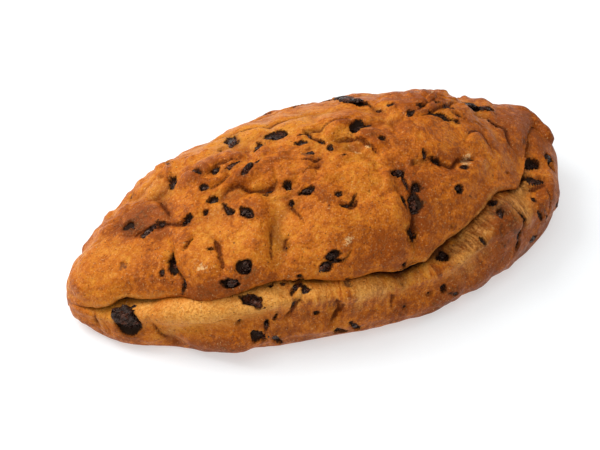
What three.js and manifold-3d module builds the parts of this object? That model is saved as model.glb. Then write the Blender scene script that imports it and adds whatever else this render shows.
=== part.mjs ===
// A baked stollen, whole and unsugared. The dough is folded over on itself along its length: a thick
// domed flap lies over a lower layer, which stands out below the flap's lip along the front and at
// the right end. It is one solid, with the raisins that stand out of its crust.
// Millimetres, +Z up. X runs along the loaf, the open fold faces -Y and the loaf rests on z = 0.
// The origin is the middle of the loaf's box, on the surface that it rests on.
import * as THREE from "three";
import { mergeVertices } from "three/addons/utils/BufferGeometryUtils.js";
import Module from "manifold-3d";

const wasm = await Module();
wasm.setup();

// Driving dimensions.
const LENGTH = 280; // from tip to tip
const LAYER_REACH = 75; // the lower layer's front, out from the middle line
const BACK_REACH = 73; // the back, out from the middle line
const CROWN_HEIGHT = 76; // the top of the folded flap
const LIP_REACH = 64; // the flap's lip, out from the middle line
const LIP_HEIGHT = 39; // the flap's lip, over the table
const CREASE_DEPTH = 16; // how far the fold runs in under the lip
const CREASE_GAP = 1.2; // the open height of the fold
const LIP_RADIUS = 4; // how far the lip is rounded up from the fold
const FULL_LIP_WIDTH = 60; // where the loaf is narrower than this, the lip is sharper
const RAISIN_RISE = 1.0; // how far a raisin stands out of the crust
const RAISIN_THICKNESS = 0.62; // a raisin's height as a share of its width
const LEAST_THICKNESS = 3.2; // no raisin is flatter than this
const RAISIN_LUMPS = 0.1; // how uneven a raisin is, as a share of its size
const RAISIN_FLOOR = 0.4; // a raisin at the foot is pressed flat, this far over the table
const LEAST_RAISIN = 7; // a shorter raisin doesn't show from a step away
const BIG_RAISIN = 8; // a shorter raisin has fewer faces

// The loaf's lines at nine places from the left tip to the right one. The places are spaced evenly in
// angle, so that x = -LENGTH / 2 * cos(angle) and the tips come out round.
const LINES = {
  front: scaled(LAYER_REACH, [0, 0.316, 0.615, 0.906, 0.993, 0.925, 0.725, 0.42, 0]),
  back: scaled(BACK_REACH, [0, 0.295, 0.63, 0.875, 0.98, 0.95, 0.78, 0.6, 0]),
  crown: scaled(CROWN_HEIGHT, [0.21, 0.46, 0.67, 0.875, 0.98, 0.95, 0.745, 0.51, 0.4]),
  lipOut: scaled(LIP_REACH, [0, 0.27, 0.56, 0.91, 1, 0.87, 0.52, -0.16, 0]),
  lipUp: scaled(LIP_HEIGHT, [0.36, 0.56, 0.74, 1, 1, 0.95, 0.96, 0.89, 0.52]),
  crease: scaled(CREASE_DEPTH, [0, 0.25, 0.5, 0.75, 0.88, 1, 0.88, 0.5, 0]),
  lean: [-6, -4, -2, 0, 0, 0, 0, 0, 4], // the left tip bends to the front and the right one to the back
  underside: [10, 2, 0, 0, 0, 0, 0, 2, 10], // the tips curl up off the table
};

// The lip wanders: at each place x it bends out (+) or in (-) by the reach, over a bell of the width.
// Where it bends out, it also hangs lower.
const LIP_BENDS = [
  { x: -128, width: 6, reach: 2.4 },
  { x: -114, width: 6, reach: -0.6 },
  { x: -94, width: 5, reach: -1.4 },
  { x: -47, width: 8, reach: -3 },
  { x: -29, width: 8, reach: -1.8 },
  { x: 24, width: 11, reach: 5.2 },
  { x: 38, width: 6, reach: 1.2 },
  { x: 68, width: 7, reach: -1.2 },
  { x: 84, width: 9, reach: -6.8 },
  { x: 105, width: 6, reach: 2.6 },
];
const BEND_FALL = 0.8; // how far the lip hangs lower for each millimetre that it bends out

// Relief of the baked dough: round swellings (+) and valleys (-), each a bell of the given length and
// width (at 60% of its height), turned from the loaf's length towards the crown.
// On the flap the place is x and the way up over the flap from its lip.
const FLAP_RELIEF = [
  { name: "rolled edge on the left", x: -74, over: 12, length: 13, width: 10, turn: 0, height: 5 },
  { name: "valley left of the rolled edge", x: -88, over: 16, length: 14, width: 3, turn: 95, height: -3.5 },
  { name: "second swelling over the lip", x: -52, over: 22, length: 10, width: 13, turn: 0, height: 3.2 },
  { name: "valley down to the lip", x: -38, over: 22, length: 17, width: 3.5, turn: 80, height: -4.5 },
  { name: "hollow left of the dome", x: -25, over: 37, length: 11, width: 5, turn: 65, height: -2.5 },
  { name: "smooth dome", x: -2, over: 34, length: 20, width: 18, turn: 0, height: 3 },
  { name: "valley right of the dome", x: 31, over: 30, length: 28, width: 4.5, turn: 83, height: -4.5 },
  { name: "left nose", x: -112, over: 10, length: 14, width: 8, turn: 0, height: 2.5 },
  { name: "flat on the left shoulder", x: -98, over: 50, length: 13, width: 9, turn: 0, height: -2.5 },
  { name: "valley on the left shoulder", x: -86, over: 64, length: 12, width: 4, turn: -25, height: -2.5 },
  { name: "fold on the left", x: -58, over: 57, length: 13, width: 3.5, turn: 62, height: -2.5 },
  { name: "fold along the middle", x: -45, over: 53, length: 12, width: 3, turn: 5, height: -2.2 },
  { name: "ridge over the folds", x: -40, over: 66, length: 15, width: 7, turn: 0, height: 2.4 },
  { name: "swelling by the crown", x: -13, over: 64, length: 15, width: 11, turn: 0, height: 2.2 },
  { name: "crease by the crown", x: 19, over: 73, length: 14, width: 3, turn: -42, height: -2.4 },
  { name: "right dome", x: 59, over: 52, length: 20, width: 15, turn: -10, height: 3 },
  { name: "valley below the right dome", x: 62, over: 36, length: 24, width: 4, turn: -32, height: -2.8 },
  { name: "brown swelling", x: 84, over: 27, length: 8, width: 8, turn: 0, height: 2.6 },
  { name: "right lobe of the lip", x: 68, over: 15, length: 13, width: 8, turn: -20, height: 2 },
  { name: "step before the right end", x: 104, over: 32, length: 27, width: 3.5, turn: 97, height: -3.2 },
  { name: "blunt right corner", x: 134, over: 13, length: 9, width: 9, turn: 90, height: 3.2 },
  { name: "bump on the back of the left shoulder", x: -77, over: 88, length: 10, width: 11, turn: 0, height: 2.6 },
  { name: "dent in the left outline", x: -101, over: 86, length: 6, width: 10, turn: 0, height: -4.5 },
  { name: "dent before the left tip", x: -125, over: 46, length: 6, width: 7, turn: 0, height: -3 },
  { name: "dent behind the left shoulder", x: -88, over: 93, length: 5, width: 6, turn: 0, height: -1.5 },
  { name: "dent behind the crown", x: 46, over: 110, length: 7, width: 8, turn: 0, height: -2.5 },
  { name: "dent over the right end", x: 118, over: 38, length: 7, width: 9, turn: 0, height: -2 },
  { name: "dent behind the right end", x: 109, over: 62, length: 6, width: 12, turn: 0, height: -2.8 },
  { name: "dent by the right corner", x: 131, over: 20, length: 5, width: 6, turn: 0, height: -1.2 },
  { name: "dent behind the right dome", x: 68, over: 118, length: 8, width: 10, turn: 0, height: -2.4 },
  { name: "dent behind the middle", x: 26, over: 145, length: 7, width: 11, turn: 0, height: -2 },
  { name: "dent behind the left middle", x: -43, over: 140, length: 9, width: 12, turn: 0, height: -1.8 },
];
// On the lower layer the place is x and the way down from the crease.
const LAYER_RELIEF = [
  { name: "pale roll on the left", x: -84, down: 13, length: 24, width: 7, turn: 0, height: 2.2 },
  { name: "bump at the foot", x: -66, down: 38, length: 9, width: 8, turn: 0, height: 3.6 },
  { name: "crease left of the middle", x: -38, down: 21, length: 10, width: 3, turn: 50, height: -3 },
  { name: "crease in the middle", x: -19, down: 27, length: 13, width: 3, turn: 78, height: -2.6 },
  { name: "crease by the left tip", x: -100, down: 28, length: 8, width: 3, turn: 60, height: -2 },
  { name: "swelling on the right", x: 40, down: 27, length: 18, width: 12, turn: 0, height: 2 },
  { name: "hollow under the lip", x: 49, down: 13, length: 7, width: 6, turn: 0, height: -3 },
  { name: "full right end", x: 137, down: 8, length: 8, width: 12, turn: 0, height: 3.5 },
  { name: "hollow at the right end", x: 114, down: 30, length: 8, width: 9, turn: 0, height: -3 },
  { name: "narrow right foot", x: 118, down: 66, length: 9, width: 8, turn: 0, height: -4 },
  { name: "narrow left foot", x: -98, down: 41, length: 8, width: 7, turn: 0, height: -3.4 },
  { name: "narrow foot by the tip", x: -134, down: 22, length: 6, width: 7, turn: 0, height: -2 },
  { name: "narrow foot left of the middle", x: -58, down: 49, length: 8, width: 6, turn: 0, height: -2.2 },
];

// Raisins that show on the front and the top: x, the way from the lip or the crease, length, width and
// turn from the loaf's length towards the crown.
const FLAP_RAISINS = [
  [-89, 15, 13, 4.5, 88], [-86, 6, 7, 2, 85], [-103.5, 43, 8, 6.5, -60], [-95.5, 35, 8.5, 4.2, 28],
  [-56, 44.5, 7.5, 2.8, 95], [-48, 36.5, 8, 4.4, -62], [-44.5, 68, 8, 2.4, 10], [-62.5, 71, 7.5, 3, -68],
  [-75, 74, 10, 6, 70], [-72, 90, 11, 2.2, 84], [-57, 10.5, 8, 7.5, 0], [-64.5, 5.5, 7, 4.5, 0],
  [-38, 97.5, 12, 7, 80], [-17.3, 91, 13.5, 8.5, 0], [25, 87.5, 12.5, 6.5, 8], [-39, 62.5, 9.5, 3.2, 40],
  [-15.5, 47, 7, 3.8, -25], [36, 30, 11, 6.5, 80], [69.5, 60, 16, 3, -35], [75, 62, 9, 2.4, -33],
  [81, 49, 8, 2, -45], [41, 92, 7, 2, -60], [31, 112, 16, 5, -57], [31, 127, 12, 4, -50],
  [71, 97, 9, 4, 0], [101, 66, 15, 5.5, -38], [108, 53, 7.5, 3.5, -50], [107.5, 35.5, 10, 4.5, -68],
];
const LAYER_RAISINS = [
  [-115.3, 17.6, 14.5, 14, 85], [-56.5, 15.5, 13, 5.6, -40], [-55, 40.5, 10, 4.2, -45],
  [-47.5, 48.5, 8.5, 5, -60], [93, 44, 10, 3.2, 85], [119, 19.5, 12, 7.5, -50], [114, 22, 15, 4.5, -68],
  [129, 58, 7, 5, -30], [-14, 48, 8, 4, -40], [46.5, 17, 11, 5.5, 72],
];
// Raisins on the sides that a look from the front doesn't reach are strewn evenly by a rule.
const STREWN_COUNT = 28;
const STREWN_LONGEST = 11;
const STREWN_SHORTEST = 7;
const STREWN_CLEARANCE = 5; // least crust between two raisins
const STREWN_REACH = 0.88; // they spread over this share of the loaf's length
const STREWN_WAYS = [138, 182]; // and over these ways from the lip, at the loaf's middle

// Broad unevenness of the risen dough: crossing waves through the whole loaf.
const SWELL = { waves: 7, height: 0.55, longest: 64, shortest: 24 };

// The flat underside fades the relief out over this height.
const BASE_FADE = 7;

// Fineness of the faceted skin.
const FLATTEST = 0.02; // flatter steps between facets are merged
const ROWS = 64; // sections along the loaf
const FINE = 12; // samples a span of the section, for lengths along the crust
// Steps in each of the section's 15 spans, in divisors of FINE: few under the loaf, most on the flap.
const SPAN_STEPS = [1, 2, 3, 3, 3, 2, 2, 3, 4, 4, 4, 3, 4, 3, 1];
const SPANS = SPAN_STEPS.length;
const TIP_START = 0.035; // where the first section stands, as a share of the way in angle
const CREASE_KEY = 5; // the section's key point at the bottom of the crease
const LIP_KEY = 7; // the section's key point on the lip
const GOLDEN_ANGLE = Math.PI * (3 - Math.sqrt(5));
// Steps of an evenly spread sequence in the plane: powers of the plastic number's inverse.
const PLASTIC = 1.32471795724;
const SPREAD = [1 / PLASTIC, 1 / PLASTIC ** 2];

function scaled(size, shares) {
  return shares.map((share) => size * share);
}

function smooth(from, to, value) {
  return THREE.MathUtils.smoothstep(value, from, to);
}

// Catmull-Rom blend of four neighbouring values.
function blend(a, b, c, d, f) {
  return 0.5 * (2 * b + (c - a) * f + (2 * a - 5 * b + 4 * c - d) * f * f + (3 * b - a - 3 * c + d) * f * f * f);
}

// A line's value at t, from 0 at the left tip to 1 at the right one.
function lineAt(values, t) {
  const last = values.length - 1;
  const place = THREE.MathUtils.clamp(t, 0, 1) * last;
  const i = Math.min(Math.floor(place), last - 1);
  const before = i > 0 ? values[i - 1] : 2 * values[0] - values[1];
  const after = i < last - 1 ? values[i + 2] : 2 * values[last] - values[last - 1];
  return blend(before, values[i], values[i + 1], after, place - i);
}

// How far the lip wanders out from its line at t: the sum of the bends' bells.
function lipBend(t) {
  const x = (-LENGTH / 2) * Math.cos(Math.PI * t);
  const bells = LIP_BENDS.map((bend) => bend.reach * Math.exp(-0.5 * ((x - bend.x) / bend.width) ** 2));
  return bells.reduce((sum, part) => sum + part, 0);
}

// Key points (y, z) of the section at t, in order round the loaf: the lower layer's foot and front,
// the crease, the flap's lip, the crown, the back and its foot.
function keyPoints(t) {
  const at = Object.fromEntries(Object.entries(LINES).map(([name, values]) => [name, lineAt(values, t)]));
  const { front, back, crown, crease, lean, underside } = at;
  const bend = lipBend(t);
  const lipOut = at.lipOut + bend;
  const lipUp = at.lipUp - BEND_FALL * bend;
  const layer = lipUp - underside;
  const flap = crown - lipUp;
  const width = lipOut + back;
  const lipRadius = LIP_RADIUS * THREE.MathUtils.clamp(width / FULL_LIP_WIDTH, 0, 1);
  const points = [
    [0, underside],
    [-0.8 * front, underside],
    [-0.985 * front, underside + 0.3 * layer],
    [-0.93 * front, underside + 0.66 * layer],
    [-0.7 * front - 0.28 * lipOut, underside + 0.93 * layer],
    [-lipOut + crease, lipUp + 0.5 * CREASE_GAP - 0.1],
    [-lipOut + 0.3 * crease, lipUp + CREASE_GAP],
    [-lipOut, lipUp + lipRadius],
    [-lipOut + 0.03 * width, lipUp + 0.36 * flap],
    [-lipOut + 0.17 * width, lipUp + 0.76 * flap],
    [-lipOut + 0.4 * width, lipUp + 0.985 * flap],
    [-lipOut + 0.64 * width, lipUp + 0.955 * flap],
    [-lipOut + 0.9 * width, underside + 0.68 * (crown - underside)],
    [0.99 * back, underside + 0.35 * (crown - underside)],
    [0.8 * back, underside],
  ];
  return points.map(([y, z]) => [y + lean, z]);
}

// The undisturbed skin at t along the loaf and s round the section, in spans.
function basePoint(t, s, keys = keyPoints(t)) {
  const i = Math.floor(s);
  const f = s - i;
  const [a, b, c, d] = [-1, 0, 1, 2].map((step) => keys[(i + step + SPANS) % SPANS]);
  const y = blend(a[0], b[0], c[0], d[0], f);
  const z = Math.max(blend(a[1], b[1], c[1], d[1], f), 0);
  return new THREE.Vector3((-LENGTH / 2) * Math.cos(Math.PI * t), y, z);
}

// Lengths along the crust of the section at t, at every fine sample: over is the way from the lip,
// towards the crown, and down is the way from the crease, towards the foot.
function crustLengths(t) {
  const keys = keyPoints(t);
  const run = [0];
  let last = basePoint(t, 0, keys);
  for (let k = 1; k <= SPANS * FINE; k += 1) {
    const next = basePoint(t, (k / FINE) % SPANS, keys);
    run.push(run[k - 1] + next.distanceTo(last));
    last = next;
  }
  const lip = run[LIP_KEY * FINE];
  const crease = run[CREASE_KEY * FINE];
  return { over: run.map((way) => way - lip), down: run.map((way) => crease - way) };
}

function normalAt(t, s) {
  const step = 0.004;
  const turn = 0.05;
  const low = Math.max(t - step, 0.001);
  const high = Math.min(t + step, 0.999);
  const along = basePoint(high, s).sub(basePoint(low, s));
  const round = basePoint(t, (s + turn) % SPANS).sub(basePoint(t, (s - turn + SPANS) % SPANS));
  return round.cross(along).normalize().negate();
}

// A bell of the mark's length, width and turn round its place.
function bell(mark, place, x, way) {
  const turn = THREE.MathUtils.degToRad(mark.turn);
  const dx = x - mark.x;
  const dy = way - place;
  const u = (dx * Math.cos(turn) + dy * Math.sin(turn)) / mark.length;
  const v = (dy * Math.cos(turn) - dx * Math.sin(turn)) / mark.width;
  return mark.height * Math.exp(-0.5 * (u * u + v * v));
}

// Crossing waves, each in a direction a golden angle on from the last, from long to short.
function swell(point) {
  let sum = 0;
  for (let k = 0; k < SWELL.waves; k += 1) {
    const share = k / (SWELL.waves - 1);
    const wave = SWELL.longest * (SWELL.shortest / SWELL.longest) ** share;
    const turn = GOLDEN_ANGLE * k;
    const climb = 2 * share - 1;
    const flat = Math.sqrt(1 - 0.8 * climb * climb);
    const way = point.x * flat * Math.cos(turn) + point.y * flat * Math.sin(turn) + point.z * climb;
    sum += Math.sin((2 * Math.PI * way) / wave + 1.7 * k) * (wave / SWELL.longest);
  }
  return SWELL.height * sum;
}

// How far the baked dough stands out of the undisturbed skin.
function relief(point, s, over, down) {
  const onFlap = smooth(LIP_KEY - 1.4, LIP_KEY - 0.3, s);
  const onLayer = 1 - smooth(CREASE_KEY - 0.5, CREASE_KEY + 0.4, s);
  let height = swell(point) * Math.max(onFlap, onLayer);
  for (const mark of FLAP_RELIEF) height += onFlap * bell(mark, mark.over, point.x, over);
  for (const mark of LAYER_RELIEF) height += onLayer * bell(mark, mark.down, point.x, down);
  return height * smooth(0, BASE_FADE, point.z);
}

// The crust's point and outward direction at t, s.
function skinAt(t, s, over, down) {
  const point = basePoint(t, s);
  const out = normalAt(t, s);
  return { point: point.clone().addScaledVector(out, relief(point, s, over, down)), out };
}

function manifoldOf(geometry) {
  const bare = geometry.clone();
  bare.deleteAttribute("normal");
  bare.deleteAttribute("uv");
  const merged = mergeVertices(bare, 1e-4);
  return new wasm.Manifold(
    new wasm.Mesh({
      numProp: 3,
      vertProperties: new Float32Array(merged.attributes.position.array),
      triVerts: new Uint32Array(merged.index.array),
    })
  );
}

function geometryOf(manifold) {
  const mesh = manifold.getMesh();
  const geometry = new THREE.BufferGeometry();
  geometry.setAttribute("position", new THREE.BufferAttribute(mesh.vertProperties, 3));
  geometry.setIndex(new THREE.BufferAttribute(mesh.triVerts, 1));
  return geometry;
}

// The dough: rings of crust points carried along the loaf, closed by a point at each tip.
function makeDough() {
  const ringPlaces = SPAN_STEPS.flatMap((steps, span) =>
    Array.from({ length: steps }, (_, k) => span * FINE + (k * FINE) / steps)
  );
  const positions = [];
  for (let row = 0; row < ROWS; row += 1) {
    const t = TIP_START + (1 - 2 * TIP_START) * (row / (ROWS - 1));
    const lengths = crustLengths(t);
    for (const place of ringPlaces) {
      const s = place / FINE;
      positions.push(...skinAt(t, s, lengths.over[place], lengths.down[place]).point.toArray());
    }
  }
  const ring = ringPlaces.length;
  const tips = [0, 1].map((t) => {
    const middle = basePoint(t, LIP_KEY).add(basePoint(t, 0)).multiplyScalar(0.5);
    positions.push(...middle.toArray());
    return positions.length / 3 - 1;
  });
  const faces = [];
  for (let k = 0; k < ring; k += 1) {
    const next = (k + 1) % ring;
    faces.push(tips[0], k, next);
    for (let row = 0; row < ROWS - 1; row += 1) {
      const [a, b] = [row * ring + k, row * ring + next];
      faces.push(a, a + ring, b, b, a + ring, b + ring);
    }
    faces.push(tips[1], (ROWS - 1) * ring + next, (ROWS - 1) * ring + k);
  }
  const geometry = new THREE.BufferGeometry();
  geometry.setAttribute("position", new THREE.Float32BufferAttribute(positions, 3));
  geometry.setIndex(faces);
  return geometry;
}

// The place round the section where the way along the crust reaches the wanted length.
function placeOnCrust(x, way, onFlap) {
  const t = Math.acos((-2 * x) / LENGTH) / Math.PI;
  const lengths = crustLengths(t);
  const [list, first, last] = onFlap
    ? [lengths.over, LIP_KEY * FINE, (SPANS - 1) * FINE]
    : [lengths.down, FINE, CREASE_KEY * FINE];
  let best = first;
  for (let k = first; k <= last; k += 1) {
    if (Math.abs(list[k] - way) < Math.abs(list[best] - way)) best = k;
  }
  return { t, s: best / FINE, over: lengths.over[best], down: lengths.down[best] };
}

// One raisin: a lumpy squashed ball, sunk in the crust so that its top stands out of it.
function makeRaisin({ x, way, onFlap, length, width, turn }) {
  const { t, s, over, down } = placeOnCrust(x, way, onFlap);
  const { point, out } = skinAt(t, s, over, down);
  const along = basePoint(Math.min(t + 0.01, 1), s).sub(basePoint(Math.max(t - 0.01, 0), s));
  along.addScaledVector(out, -along.dot(out)).normalize();
  const up = out.clone().cross(along).normalize();
  const angle = THREE.MathUtils.degToRad(turn);
  const long = along.clone().multiplyScalar(Math.cos(angle)).addScaledVector(up, Math.sin(angle));
  const wide = out.clone().cross(long);
  const thickness = Math.max(width * RAISIN_THICKNESS, LEAST_THICKNESS);
  const geometry =
    length < BIG_RAISIN ? new THREE.OctahedronGeometry(1, 1) : new THREE.IcosahedronGeometry(1, 1);
  const corners = geometry.attributes.position;
  const corner = new THREE.Vector3();
  for (let k = 0; k < corners.count; k += 1) {
    corner.fromBufferAttribute(corners, k);
    corner.multiplyScalar(1 + RAISIN_LUMPS * Math.sin(3 * corner.x + x) * Math.cos(4 * corner.y + way));
    corners.setXYZ(k, corner.x, corner.y, corner.z);
  }
  const centre = point.addScaledVector(out, RAISIN_RISE - thickness / 2);
  const size = [length / 2, width / 2, thickness / 2];
  const frame = new THREE.Matrix4().makeBasis(long, wide, out).setPosition(centre);
  geometry.applyMatrix4(frame.scale(new THREE.Vector3(...size)));
  for (let k = 0; k < corners.count; k += 1) corners.setZ(k, Math.max(corners.getZ(k), RAISIN_FLOOR));
  return geometry;
}

// Raisins of the unseen sides, largest first, spread evenly over the back, the back of the top and
// the ends of the lower layer. One that would come too near another is left out.
function strewnRaisins(placed) {
  const raisins = [];
  for (let k = 1; raisins.length < STREWN_COUNT; k += 1) {
    const [along, across] = SPREAD.map((step) => (0.5 + step * k) % 1);
    const share = raisins.length / STREWN_COUNT;
    const length = THREE.MathUtils.lerp(STREWN_LONGEST, STREWN_SHORTEST, share);
    const x = (along - 0.5) * STREWN_REACH * LENGTH;
    const reach = Math.sin(Math.acos((-2 * x) / LENGTH));
    const way = reach * THREE.MathUtils.lerp(...STREWN_WAYS, across);
    const width = length * (0.55 + 0.3 * ((7 * along) % 1));
    const turn = 180 * ((5 * across) % 1);
    const near = placed.concat(raisins).some((other) => {
      const gap = Math.hypot(other.x - x, other.way - way);
      return other.onFlap && gap < (other.length + length) / 2 + STREWN_CLEARANCE;
    });
    if (!near) raisins.push({ x, way, onFlap: true, length, width, turn });
    if (k > 20 * STREWN_COUNT) break;
  }
  return raisins;
}

function makeLoaf() {
  const named = (list, onFlap) =>
    list.map(([x, way, length, width, turn]) => ({ x, way, onFlap, length, width, turn }));
  const seen = [...named(FLAP_RAISINS, true), ...named(LAYER_RAISINS, false)];
  const raisins = [...seen, ...strewnRaisins(seen)].filter((one) => one.length >= LEAST_RAISIN);
  const pieces = [makeDough(), ...raisins.map(makeRaisin)].map(manifoldOf);
  const joined = wasm.Manifold.union(pieces).simplify(FLATTEST);
  const geometry = geometryOf(joined);
  geometry.computeBoundingBox();
  const middle = geometry.boundingBox.getCenter(new THREE.Vector3());
  geometry.translate(-middle.x, -middle.y, -geometry.boundingBox.min.z);
  geometry.computeVertexNormals();
  return geometry;
}

const crust = new THREE.MeshStandardMaterial({ color: 0xb9702f, roughness: 0.6, metalness: 0 });
const loaf = new THREE.Mesh(makeLoaf(), crust);
loaf.name = "loaf";

const group = new THREE.Group();
group.add(loaf);

export default group;
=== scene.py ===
"""Looks of a whole, unsugared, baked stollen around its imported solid.

The loaf is one dough folded over on itself: a domed flap over a lower layer, with a crease between
them. The crust is one closed surface, worked out from the same lines, relief and raisin places as
the solid, with finer folds, torn skin round the raisins and browning added. Raisins are one mesh.

Shapes are worked out in millimetres in the loaf's own frame and put into meshes in metres.
"""
import logging
import math
from dataclasses import dataclass, field
from enum import Enum

import bpy
import numpy as np
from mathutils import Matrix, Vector
from numpy.typing import NDArray


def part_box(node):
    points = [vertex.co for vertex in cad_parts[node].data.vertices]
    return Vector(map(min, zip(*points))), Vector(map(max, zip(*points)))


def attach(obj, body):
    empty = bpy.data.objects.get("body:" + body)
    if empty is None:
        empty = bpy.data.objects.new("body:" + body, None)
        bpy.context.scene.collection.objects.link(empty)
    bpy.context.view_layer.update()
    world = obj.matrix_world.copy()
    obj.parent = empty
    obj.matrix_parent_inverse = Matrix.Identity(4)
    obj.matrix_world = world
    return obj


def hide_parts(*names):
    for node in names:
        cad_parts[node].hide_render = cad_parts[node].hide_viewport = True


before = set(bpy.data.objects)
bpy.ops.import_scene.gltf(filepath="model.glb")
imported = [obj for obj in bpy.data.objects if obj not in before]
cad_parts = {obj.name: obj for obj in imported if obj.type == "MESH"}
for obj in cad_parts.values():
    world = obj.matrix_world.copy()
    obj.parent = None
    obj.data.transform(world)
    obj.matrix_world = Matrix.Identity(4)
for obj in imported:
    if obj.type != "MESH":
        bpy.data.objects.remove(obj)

Array = NDArray[np.float64]
Socket = bpy.types.NodeSocket
Colour = tuple[float, float, float, float]
Range = tuple[float, float]

NODE = "loaf"
BODY = "root"
MM = 0.001
GOLDEN_ANGLE = math.pi * (3 - math.sqrt(5))
PLASTIC = 1.32471795724  # its inverse powers spread points evenly over a plane
NOISE_SEED = 24
FAR = 6.0  # distances to tears and creases are cut off here, in mm

log = logging.getLogger("stollen")
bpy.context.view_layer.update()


class Sheet(Enum):
    """The two sheets of the folded dough that show."""

    FLAP = "flap"
    LAYER = "layer"


def smooth(low: float, high: float, value: Array) -> Array:
    """Share of the rise from low to high: 3f^2 - 2f^3 of the way f, held between 0 and 1."""
    share = np.clip((value - low) / (high - low), 0.0, 1.0)
    return share * share * (3.0 - 2.0 * share)


def blend(a: Array, b: Array, c: Array, d: Array, f: Array) -> Array:
    """Catmull-Rom blend at f: the cubic from b to c with slopes (c - a) / 2 and (d - b) / 2."""
    square, cube = 2 * a - 5 * b + 4 * c - d, 3 * b - a - 3 * c + d
    return 0.5 * (2 * b + (c - a) * f + square * f**2 + cube * f**3)


class LatticeNoise:
    """Smooth noise: seeded random values on a repeating cubic lattice, blended between its corners."""

    CELLS = 32
    OCTAVE_SHIFT = 7.3
    SHARPNESS = 2.8

    def __init__(self, seed: int) -> None:
        """Draws the lattice's values, from -1 to 1, with the given seed."""
        draw = np.random.default_rng(seed)
        self.values = draw.uniform(-1.0, 1.0, (self.CELLS,) * 3)

    def at(self, points: Array, wave: float, offset: float = 0.0) -> Array:
        """Noise at points: the eight corner values of each point's cell, mixed by eased shares.

        Args:
            points: places, last axis of three, in mm.
            wave: a cell's size in mm.
            offset: shift in cells, which gives an unlike pattern.

        Returns:
            Values of about -0.8 to 0.8, one for each place.
        """
        place = points / wave + offset
        corner = np.floor(place).astype(int)
        share = place - corner
        share = share * share * (3.0 - 2.0 * share)
        low, high = corner % self.CELLS, (corner + 1) % self.CELLS
        total = np.zeros(points.shape[:-1])
        for corner_id in range(8):
            pick = [(corner_id >> axis) & 1 for axis in range(3)]
            index = tuple((high if up else low)[..., axis] for axis, up in enumerate(pick))
            weight = np.prod([share[..., a] if up else 1 - share[..., a] for a, up in enumerate(pick)], 0)
            total += weight * self.values[index]
        return total

    def layered(self, points: Array, wave: float, octaves: int, offset: float = 0.0) -> Array:
        """Sum of several noises, each of half the wave and half the height of the one before."""
        shifts = [(2**octave, offset + self.OCTAVE_SHIFT * octave) for octave in range(octaves)]
        return sum(self.at(points, wave / finer, shift) / finer for finer, shift in shifts)

    def ridged(self, points: Array, wave: float, offset: float = 0.0) -> Array:
        """Sharp folds: (1 - sharpness * |noise|)^2, which is 1 along thin bent lines and 0 off them."""
        return (1.0 - np.minimum(np.abs(self.at(points, wave, offset)) * self.SHARPNESS, 1.0)) ** 2


@dataclass(frozen=True)
class Mark:
    """A round swelling (+) or a valley (-) of the baked dough: a turned bell. Sizes in mm.

    what only names it. way is the way along the crust: on the flap up from its lip, on the lower
    layer down from the crease. turn is in degrees from the loaf's length towards the crown.
    Where marks stand for browning, crumb or calm, height is a share.
    """

    what: str
    x: float
    way: float
    length: float
    width: float
    turn: float
    height: float

    def bell(self, x: Array, way: Array) -> Array:
        """The mark's height at each place: height * exp(-(u^2 + v^2) / 2), u and v in its own axes.

        Args:
            x: places along the loaf.
            way: places along the crust.

        Returns:
            Heights in mm.
        """
        turn = math.radians(self.turn)
        dx, dy = x - self.x, way - self.way
        u = (dx * math.cos(turn) + dy * math.sin(turn)) / self.length
        v = (dy * math.cos(turn) - dx * math.sin(turn)) / self.width
        return self.height * np.exp(-0.5 * (u * u + v * v))


def summed(marks: tuple[Mark, ...], x: Array, way: Array) -> Array:
    """Sum of the marks' bells at each place."""
    return sum(mark.bell(x, way) for mark in marks)


FLAP_RELIEF = (
    Mark("rolled edge on the left", -74, 12, 13, 10, 0, 5),
    Mark("valley left of the rolled edge", -88, 16, 14, 3, 95, -3.5),
    Mark("second swelling over the lip", -52, 22, 10, 13, 0, 3.2),
    Mark("valley down to the lip", -38, 22, 17, 3.5, 80, -4.5),
    Mark("hollow left of the dome", -25, 37, 11, 5, 65, -2.5),
    Mark("smooth dome", -2, 34, 20, 18, 0, 3),
    Mark("valley right of the dome", 31, 30, 28, 4.5, 83, -4.5),
    Mark("left nose", -112, 10, 14, 8, 0, 2.5),
    Mark("flat on the left shoulder", -98, 50, 13, 9, 0, -2.5),
    Mark("valley on the left shoulder", -86, 64, 12, 4, -25, -2.5),
    Mark("fold on the left", -58, 57, 13, 3.5, 62, -2.5),
    Mark("fold along the middle", -45, 53, 12, 3, 5, -2.2),
    Mark("ridge over the folds", -40, 66, 15, 7, 0, 2.4),
    Mark("swelling by the crown", -13, 64, 15, 11, 0, 2.2),
    Mark("crease by the crown", 19, 73, 14, 3, -42, -2.4),
    Mark("right dome", 59, 52, 20, 15, -10, 3),
    Mark("valley below the right dome", 62, 36, 24, 4, -32, -2.8),
    Mark("brown swelling", 84, 27, 8, 8, 0, 2.6),
    Mark("right lobe of the lip", 68, 15, 13, 8, -20, 2),
    Mark("step before the right end", 104, 32, 27, 3.5, 97, -3.2),
    Mark("blunt right corner", 134, 13, 9, 9, 90, 3.2),
    Mark("bump on the back of the left shoulder", -77, 88, 10, 11, 0, 2.6),
    Mark("dent in the left outline", -101, 86, 6, 10, 0, -4.5),
    Mark("dent before the left tip", -125, 46, 6, 7, 0, -3),
    Mark("dent behind the left shoulder", -88, 93, 5, 6, 0, -1.5),
    Mark("dent behind the crown", 46, 110, 7, 8, 0, -2.5),
    Mark("dent over the right end", 118, 38, 7, 9, 0, -2),
    Mark("dent behind the right end", 109, 62, 6, 12, 0, -2.8),
    Mark("dent by the right corner", 131, 20, 5, 6, 0, -1.2),
    Mark("dent behind the right dome", 68, 118, 8, 10, 0, -2.4),
    Mark("dent behind the middle", 26, 145, 7, 11, 0, -2),
    Mark("dent behind the left middle", -43, 140, 9, 12, 0, -1.8),
)
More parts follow.
